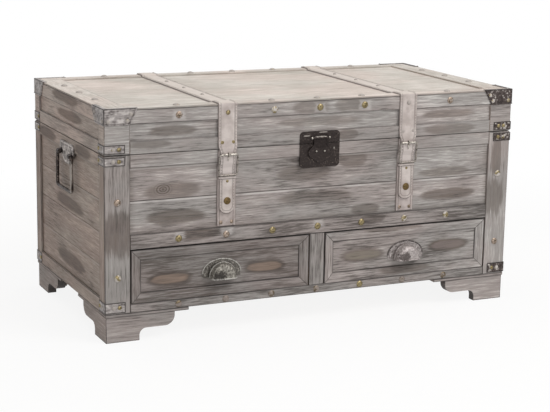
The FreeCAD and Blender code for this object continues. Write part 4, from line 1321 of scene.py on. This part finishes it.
def plate_relief(side, turn):
    """The raised border, scrolls and screws of a handle plate."""
    plate_thick, inset, half_tab, shoulder_drop = 0.002, 0.0035, 0.014, 0.020
    border_radius, bend, pitch = 0.0012, 0.007, 0.005
    screw_inset, screw_drop, screw_lift = 0.0085, 0.009, 0.008
    low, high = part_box("handle_plates")
    outward = right * turn
    half = (high.y - low.y) / 2

    def at(y, z):
        return Vector((turn * (half_width + plate_thick), middle_y + y, z))

    half_outline = [
        (0, high.z - inset),
        (half - inset, high.z - inset),
        (half - inset, high.z - shoulder_drop),
        (half_tab - inset * 0.4, low.z + inset),
    ]
    outline = half_outline + [(-y, z) for y, z in reversed(half_outline)]
    border = stepped(rounded([at(y, z) for y, z in outline], bend, 6), pitch)
    shells = [tube(border, border_radius, outward)]
    shells += [tube(*scroll(at, hand, low, high), outward) for hand in (-1, 1)]
    screw_y, screw_z = half - screw_inset, high.z - screw_drop
    for y, z in ((-screw_y, screw_z), (screw_y, screw_z), (0, low.z + screw_lift)):
        shells.append(head(at(y, z), outward, 0.0028, 0.0015))
    fit(piece("handle_relief_" + side, relief_metal, *shells), "carcass", "washed_metal")


# Corner metal

# Small tacks: how far from the corner, the share of the height, and whether they have kept their wash
cap_tack_places = ((0.054, 0.62, True), (0.047, 0.22, True), (0.009, 0.22, True))
bracket_tack_places = ((0.018, 0.5, True), (0.030, 0.5, False))


def corner_frame(low, high):
    """The outer corner of a corner piece, and the two ways along it, each with the way across."""
    middle = (low + high) / 2
    on_right = middle.x > 0
    at_back = middle.y > middle_y
    corner = Vector((high.x if on_right else low.x, high.y if at_back else low.y, low.z))
    inward_x = Vector((-1 if on_right else 1, 0, 0))
    inward_y = Vector((0, -1 if at_back else 1, 0))
    return corner, ((inward_x, inward_y), (inward_y, inward_x))


def cap_lips():
    """The rolled edge of each lid cap, which thickens towards its slanted end."""
    foot_length, bend = 0.050, 0.004
    thin, thick = 0.0009, 0.0019
    shells = []
    for low, high in solids_of("lid_corner_caps"):
        corner, ways = corner_frame(low, high)
        rise = up * (high.z - low.z)
        for along, across in ways:
            length = abs((high - low).dot(along)) - thin
            points = [corner, corner + along * foot_length, corner + along * length + rise]
            path = stepped(rounded(points, bend), bend)
            radii = [thin + (thick - thin) * i / (len(path) - 1) for i in range(len(path))]
            shells.append(tube(path, radii, across, 10))
    fit(piece("cap_lips", corner_metal, *shells), "lid", "washed_metal")


def sheet_tacks(name, body, places):
    """Small tacks that hold the corner metal down."""
    groups = {}
    for node, rows in places.items():
        for low, high in solids_of(node):
            corner, ways = corner_frame(low, high)
            for along, across in ways:
                for reach, share, washed in rows:
                    key = ("washed" if corner.x < 0 else "worn") if washed else "brass"
                    base = corner + along * reach + up * ((high.z - low.z) * share)
                    groups.setdefault(key, []).append(head(base, -across, 0.0042, 0.0023))
    for key, shells in groups.items():
        fit(piece(name + "_" + key, tack_finishes[key], *shells), body, "brass")


# Hasp

hasp_pin_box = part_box("hasp_pin")
hasp_pin = (hasp_pin_box[0] + hasp_pin_box[1]) / 2
flap_face = front_y - 0.0045
plate_face = front_y - 0.002

# Half of the flap's outline, from its top to its tip: half width, drop below the pin and rounding
flap_outline = ((0.0145, 0.006, 0.0), (0.0145, 0.014, 0.003), (0.033, 0.033, 0.0135), (0, 0.052, 0.004))


def hasp_pin_balls():
    """A ball at each end of the pin."""
    radius, pole, stand, steps = 0.0026, 0.00004, 0.0008, 10
    turns = [math.pi * i / steps for i in range(steps + 1)]
    profile = [(radius * math.sin(turn) + pole, -radius * math.cos(turn)) for turn in turns]
    reach = (hasp_pin_box[1].x - hasp_pin_box[0].x) / 2 + stand
    balls = [turned(profile, hasp_pin + right * reach * turn, right * turn) for turn in (-1, 1)]
    fit(piece("hasp_pin_balls", bright_steel, *balls), "lid", "aged_steel")


def hasp_studs():
    drop, pitch = 0.027, 0.018
    places = [Vector((turn * pitch / 2, flap_face, hasp_pin.z - drop)) for turn in (-1, 1)]
    studs = [head(place, front, 0.0022, 0.0030, 16) for place in places]
    fit(piece("hasp_studs", bright_steel, *studs), "hasp", "dark_iron")


def hasp_border():
    """The raised line inside the edge of the flap."""
    across_share, drop_share, top_drop, sunk, radius = 0.93, 0.965, 0.0005, 0.0002, 0.0009
    corners = [(-half, drop, cut) for half, drop, cut in flap_outline] + list(reversed(flap_outline[:-1]))
    points = []
    for x, drop, cut in corners:
        level = hasp_pin.z - top_drop - drop * drop_share
        points.append(Vector((x * across_share, flap_face + sunk, level)))
    path = rounded(points, [cut for x, drop, cut in corners[1:-1]], 8)
    fit(piece("hasp_flap_border", hasp_iron, tube(path, radius, front)), "hasp", "dark_iron")


def hasp_nails():
    """A nail in each outer corner of the plates."""
    inset = 0.0065
    for node, body in (("hasp_upper_plate", "lid"), ("hasp_lower_plate", "carcass")):
        low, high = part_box(node)
        level = high.z - inset if body == "lid" else low.z + inset
        places = [Vector((x, plate_face, level)) for x in (low.x + inset, high.x - inset)]
        nails = [head(place, front, 0.0024, 0.0013) for place in places]
        fit(piece(node + "_nails", hasp_iron, *nails), body, "dark_iron")


# Lid hinges


def hinge_screws(node, body):
    """Three screws in each leaf."""
    leaf_thick, inset = 0.0015, 0.008
    screws = []
    for low, high in solids_of(node):
        level = low.z + inset if body == "carcass" else high.z - inset
        for share in (0.14, 0.5, 0.86):
            base = Vector((low.x + (high.x - low.x) * share, back_y + leaf_thick, level))
            screws.append(head(base, -front, 0.003, 0.0009))
    fit(piece(node + "_screws", bright_steel, *screws), body, "aged_steel")


# Studio


def place_camera():
    data = bpy.data.cameras.new("camera")
    data.sensor_width = sensor_width
    data.lens = focal_pixels * sensor_width / photo_width
    camera = bpy.data.objects.new("camera", data)
    turn = Matrix.Rotation(math.radians(camera_azimuth), 4, "Z")
    tilt = Matrix.Rotation(math.radians(90 - camera_elevation), 4, "X")
    roll = Matrix.Rotation(math.radians(camera_roll), 4, "Z")
    camera.matrix_world = Matrix.Translation(camera_place) @ turn @ tilt @ roll
    bpy.context.scene.collection.objects.link(camera)
    bpy.context.scene.camera = camera
    bpy.context.scene.view_settings.view_transform = "Standard"


def seen_directly(finish):
    """1 where the camera, a reflection or a see-through surface looks straight at something."""
    rays = finish.add("ShaderNodeLightPath").socket.node.outputs
    shares = [Tone(finish, rays[key]) for key in ("Is Camera Ray", "Is Glossy Ray", "Is Transmission Ray")]
    return shares[0].most(shares[1]).most(shares[2])


def light_sky():
    """A soft even light from all round, which shows as white."""
    fill = 0.28
    world = bpy.data.worlds.new("studio")
    bpy.context.scene.world = world
    sky = Finish("studio", world)
    soft = sky.add("ShaderNodeBackground", {}, {"Color": (1, 0.985, 0.96, 1), "Strength": fill})
    white = sky.add("ShaderNodeBackground", {}, {"Color": (1, 1, 1, 1), "Strength": 1.0})
    both = sky.add("ShaderNodeMixShader", {}, {0: seen_directly(sky), 1: soft, 2: white})
    sky.add("ShaderNodeOutputWorld", {}, {"Surface": both})


def lamp(name, place, size, power, colour):
    """A round soft lamp that looks at the middle of the chest."""
    target = Vector((0, 0, 0.25))
    data = bpy.data.lights.new(name, "AREA")
    data.shape = "DISK"
    data.size = size
    data.energy = power
    data.color = colour
    obj = bpy.data.objects.new(name, data)
    obj.location = place
    obj.rotation_euler = (target - Vector(place)).to_track_quat("-Z", "Y").to_euler()
    bpy.context.scene.collection.objects.link(obj)


def light_studio():
    lamp("key_lamp", (1.3, -2.0, 2.9), 2.2, 62, (1.0, 0.98, 0.96))
    lamp("top_lamp", (-0.2, 0.6, 2.6), 2.4, 25, (1.0, 0.98, 0.95))
    lamp("front_lamp", (-0.6, -3.2, 1.3), 2.0, 20, (1.0, 0.99, 0.98))


def floor():
    """A pale floor that fades to white away from the chest and keeps its shadow."""
    half = 14.0
    near, far = 0.62, 1.5
    finish = Finish("pale_floor")
    x, y, z = finish.xyz
    fade = (x * x * 0.6 + y * y).root().rise(near, far)
    paper_colour = finish.mix(finish.cloud(finish.place, 40, 2.0), *shades("f4f4f3", "fbfbfb"))
    paper = finish.add("ShaderNodeBsdfDiffuse", {}, {"Color": paper_colour})
    glow = finish.add("ShaderNodeEmission", {}, {"Color": (1, 1, 1, 1), "Strength": 1.0})
    share = seen_directly(finish) * (0.88 + fade * 0.12)
    both = finish.add("ShaderNodeMixShader", {}, {0: share, 1: paper, 2: glow})
    finish.add("ShaderNodeOutputMaterial", {}, {"Surface": both})
    corners = [(-half, -half, 0), (half, -half, 0), (half, half, 0), (-half, half, 0)]
    piece("floor", finish.material, (corners, [(0, 1, 2, 3)]))


# Finishes of the wood

front_wash = Wash(0.44)
top_wash = Wash(0.60, 1.3, cream_tones)
side_wash = Wash(0.54, 1.05, side_tones)
frame_wash = Wash(0.42, 0.75)

# How far boards at the lid's seam are taken to reach past it, so that no dark line is drawn there
past_seam = 0.01


def board(node, grain, wash, seed, plain_foot=0.0, plain_head=0.0, **more):
    """Dresses the boards of a node, which may be taken to reach further down or up than they do."""
    boards = [(low - up * plain_foot, high + up * plain_head) for low, high in solids_of(node)]
    dress(washed_wood(node + "_wash", grain, wash, seed, boards=boards, **more), node)


def finish_planks():
    side_low, side_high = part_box("side_top_rails")
    field_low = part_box("side_bottom_rails")[1].z
    front_field = (Vector((-stile_x, panel_y, rail_top)), Vector((stile_x, panel_y, top_rail_bottom)))
    back_field = (Vector((-stile_x, back_y, field_low)), Vector((stile_x, back_y, top_rail_bottom)))
    side_field = (Vector((0, side_low.y, field_low)), Vector((0, side_high.y, top_rail_bottom)))
    front_planks = panel_wood("front_planks", 0.3, front_wash, front_field, panel_marks, knots=front_knots)
    dress(front_planks, "front_panel")
    dress(panel_wood("back_planks", 4.1, front_wash, back_field, back_marks), "back_panel")
    for side, seed in (("left", 1.7), ("right", 2.9)):
        planks = panel_wood(side + "_planks", seed, side_wash, side_field, panel_side_marks, True, 0.15)
        dress(planks, "side_panel_" + side)


def finish_frame():
    stile_looks = {"front_marks": stile_marks, "right_lift": 0.12, "ragged": 2.4}
    side_looks = {"plain_head": past_seam, "side_marks": rail_side_marks, "line": 0.5}
    rail_looks = {"front_marks": rail_marks, "halos": rail_halos, "bare_below": True}
    board("front_stiles", upright_grain, Wash(0.42, 0.65), 5.2, **stile_looks)
    board("side_stiles", upright_grain, side_wash, 6.4)
    board("front_top_rail", level_grain, frame_wash, 7.1, plain_head=past_seam, line=0.6)
    board("side_top_rails", level_grain, side_wash, 8.3, **side_looks)
    board("side_bottom_rails", level_grain, side_wash, 9.2)
    board("back_frame", frame_grain, frame_wash, 10.6)
    board("drawer_rail", level_grain, Wash(0.26, 0.9), 11.8, **rail_looks)
    board("bottom_rail", level_grain, Wash(0.3, 0.9), 12.5)
    board("centre_stile", upright_grain, Wash(0.38, 0.6), 13.3)
    board("foot_pads", level_grain, frame_wash, 14.7)
    foot_amounts = {"front_left": 0.42, "front_right": 0.54, "back_left": 0.45, "back_right": 0.45}
    for count, (corner, amount) in enumerate(foot_amounts.items()):
        board("foot_" + corner, level_grain, Wash(amount, 0.75), 15.5 + count, bare_below=True)


def finish_lid():
    lid_wash = Wash(0.52, 0.9)
    lid_side_wash = Wash(0.70, 1.1, lid_side_tones)
    upper_looks = {"front_marks": batten_marks, "side_marks": upper_side_marks, "halos": lid_halos}
    upper_lifts = {"right_lift": 0.17, "side_lift": 0.24, "side_colour": warm_side}
    lower_looks = {"plain_foot": past_seam, "front_marks": batten_marks, "right_lift": 0.14, "line": 0.6}
    warm = {"side_lift": 0.32, "side_colour": warm_side}
    rim_looks = {"boards": top_rim_boards(), "line": 0.7}
    board("lid_front_board", level_grain, lid_wash, 20.3, front_marks=lid_marks, right_lift=0.15)
    board("lid_back_board", level_grain, front_wash, 21.4)
    board("lid_side_boards", level_grain, lid_side_wash, 22.9, side_marks=lid_side_marks)
    board("lid_upper_battens", level_grain, lid_wash, 23.5, **upper_looks, **upper_lifts)
    board("lid_lower_battens", level_grain, frame_wash, 24.1, **lower_looks, **warm)
    board("lid_stiles", level_grain, frame_wash, 25.7, line=0.8, **warm)
    dress(washed_wood("lid_rim_wash", lid_rim_grain, top_wash, 26.2, **rim_looks), "lid_top_battens")
    dress(washed_wood("lid_top_planks", level_grain, top_wash, 27.8, line=0.6), "lid_top_panel")


def finish_drawers():
    left_looks = (30.2, Wash(0.23, 0.85, dull_tones), left_drawer_marks, (tan_wood, tan_wood))
    right_looks = (31.6, Wash(0.43), right_drawer_marks, (olive_wood, plum_wood), right_drawer_smears)
    for side, looks in (("left", left_looks), ("right", right_looks)):
        node = "drawer_" + side + "_front"
        dress(drawer_wood(side + "_drawer_wash", node, *looks), node)


def finish_inside():
    dress(plain_wood("bare_long_boards", along_x, 1.3), "trunk_floor", "base_board")
    dress(plain_wood("bare_deep_boards", along_y, 2.6), "drawer_partition", "drawer_guides")
    dress(plain_wood("bare_drawer_boards", along_y, 3.9), "drawer_left_box", "drawer_right_box")
    dress(plain_wood("bare_blocks", along_z, 5.2), "foot_blocks")


place_camera()
light_sky()
light_studio()
floor()
finish_planks()
finish_frame()
finish_lid()
finish_drawers()
finish_inside()

# Finishes of the fittings
bright_brass = brass("tack_brass", 0.22)
snap_brass = brass("snap_brass", 0.12, metal_wash, shade("6e5b3e"))
tack_finishes = {
    "brass": bright_brass,
    "copper": brass("copper_tack", 0.36, metal_wash, shade("97877a")),
    "worn": brass("worn_tack_brass", 0.5),
    "washed": brass("washed_tack_brass", 0.68, shade("a69f9a")),
    "grey": brass("grey_tack_brass", 0.52, shade("8b817b"), shade("6f6353")),
}
corner_nodes = ("lid_corner_caps", "lid_corner_brackets", "body_corner_brackets")
corner_sheets = [ends for node in corner_nodes for ends in solids_of(node)]
corner_metal = hammered_metal("corner_metal", brushed_tones, dark_tones, 0.46, corner_sheets)
plate_touches = [(plate_eye_shade, 1, 1.2, eye_shade_black)]
plate_metal = hammered_metal("handle_plate_metal", plate_tones, plate_tones, 0.5, touches=plate_touches)
relief_metal = hammered_metal("handle_relief_metal", relief_tones, relief_tones, 0.6)
hasp_touches = [(hasp_shade_marks, 0, 1.5, iron_shade), (hasp_scratches_and_highlights, 0, 2.5, iron_bright)]
hasp_iron = dark_iron("hasp_iron", 0.0, hasp_touches)
bail_iron = dark_iron("bail_iron", 0.06, [(bail_highlight, 1, 2.0, iron_bright)])
pull_metals = {
    "left": (
        cup_metal("left_cup", "left", "35312d", "716d66", "a6a29a"),
        cup_metal("left_flange", "left", "302c29", "56524d", "8b8780"),
        cup_metal("left_rims", "left", "6d6a66", "9f9c97", "bfbcb6"),
    ),
    "right": (
        cup_metal("right_cup", "right", "5c5452", "9d9593", "bab3b1"),
        cup_metal("right_flange", "right", "4f4846", "8f8886", "b0a9a7"),
        cup_metal("right_rims", "right", "2c2725", "4c4644", "7d7674"),
    ),
}
bright_steel = aged_steel("bright_steel", steel_tones)
buckle_steel = aged_steel("buckle_steel", buckle_tones)
strap_leather = leather("strap_leather", strap_tones, True, tail_box[0].z)
low_leather = leather("low_strap_leather", low_strap_tones)
keeper_leather = band_leather("band_leather")
strap_thread = thread("strap_thread")

dress(corner_metal, *corner_nodes)
dress(plate_metal, "handle_plates")
dress(hasp_iron, "hasp_upper_plate", "hasp_lower_plate", "hasp_flap", "hasp_pin")
dress(bright_steel, "hinge_body_leaves", "hinge_lid_leaves", "hinge_pins")
dress(bright_brass, "lid_tacks", "body_tacks")
dress(strap_leather, "lower_straps")

for side, x in (("left", strap_x), ("right", -strap_x)):
    dress(pull_metals[side][0], "cup_pull_" + side)
    dress(bail_iron, "bail_" + side)
    dress(bright_steel, "strap_fittings_" + side)
    dress(strap_leather, "upper_strap_" + side, "strap_tail_" + side)
    long_strap(side, x)
    buckle_frame(side, x)
    buckle_roller(side, x)
    snap(side, x)
    keeper(side, x)
    pull(side)
    bail(side)
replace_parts(low_strap("left", strap_x), "lower_straps")
low_strap("right", -strap_x)
cap_lips()
lid_rows = {"lid_corner_caps": cap_tack_places, "lid_corner_brackets": bracket_tack_places}
sheet_tacks("lid_metal_tacks", "lid", lid_rows)
sheet_tacks("body_metal_tacks", "carcass", {"body_corner_brackets": bracket_tack_places})
hasp_pin_balls()
hasp_studs()
hasp_border()
hasp_nails()
plate_relief("left", -1)
plate_relief("right", 1)
hinge_screws("hinge_body_leaves", "carcass")
hinge_screws("hinge_lid_leaves", "lid")
tacks("lid_tacks", "lid")
tacks("body_tacks", "carcass")
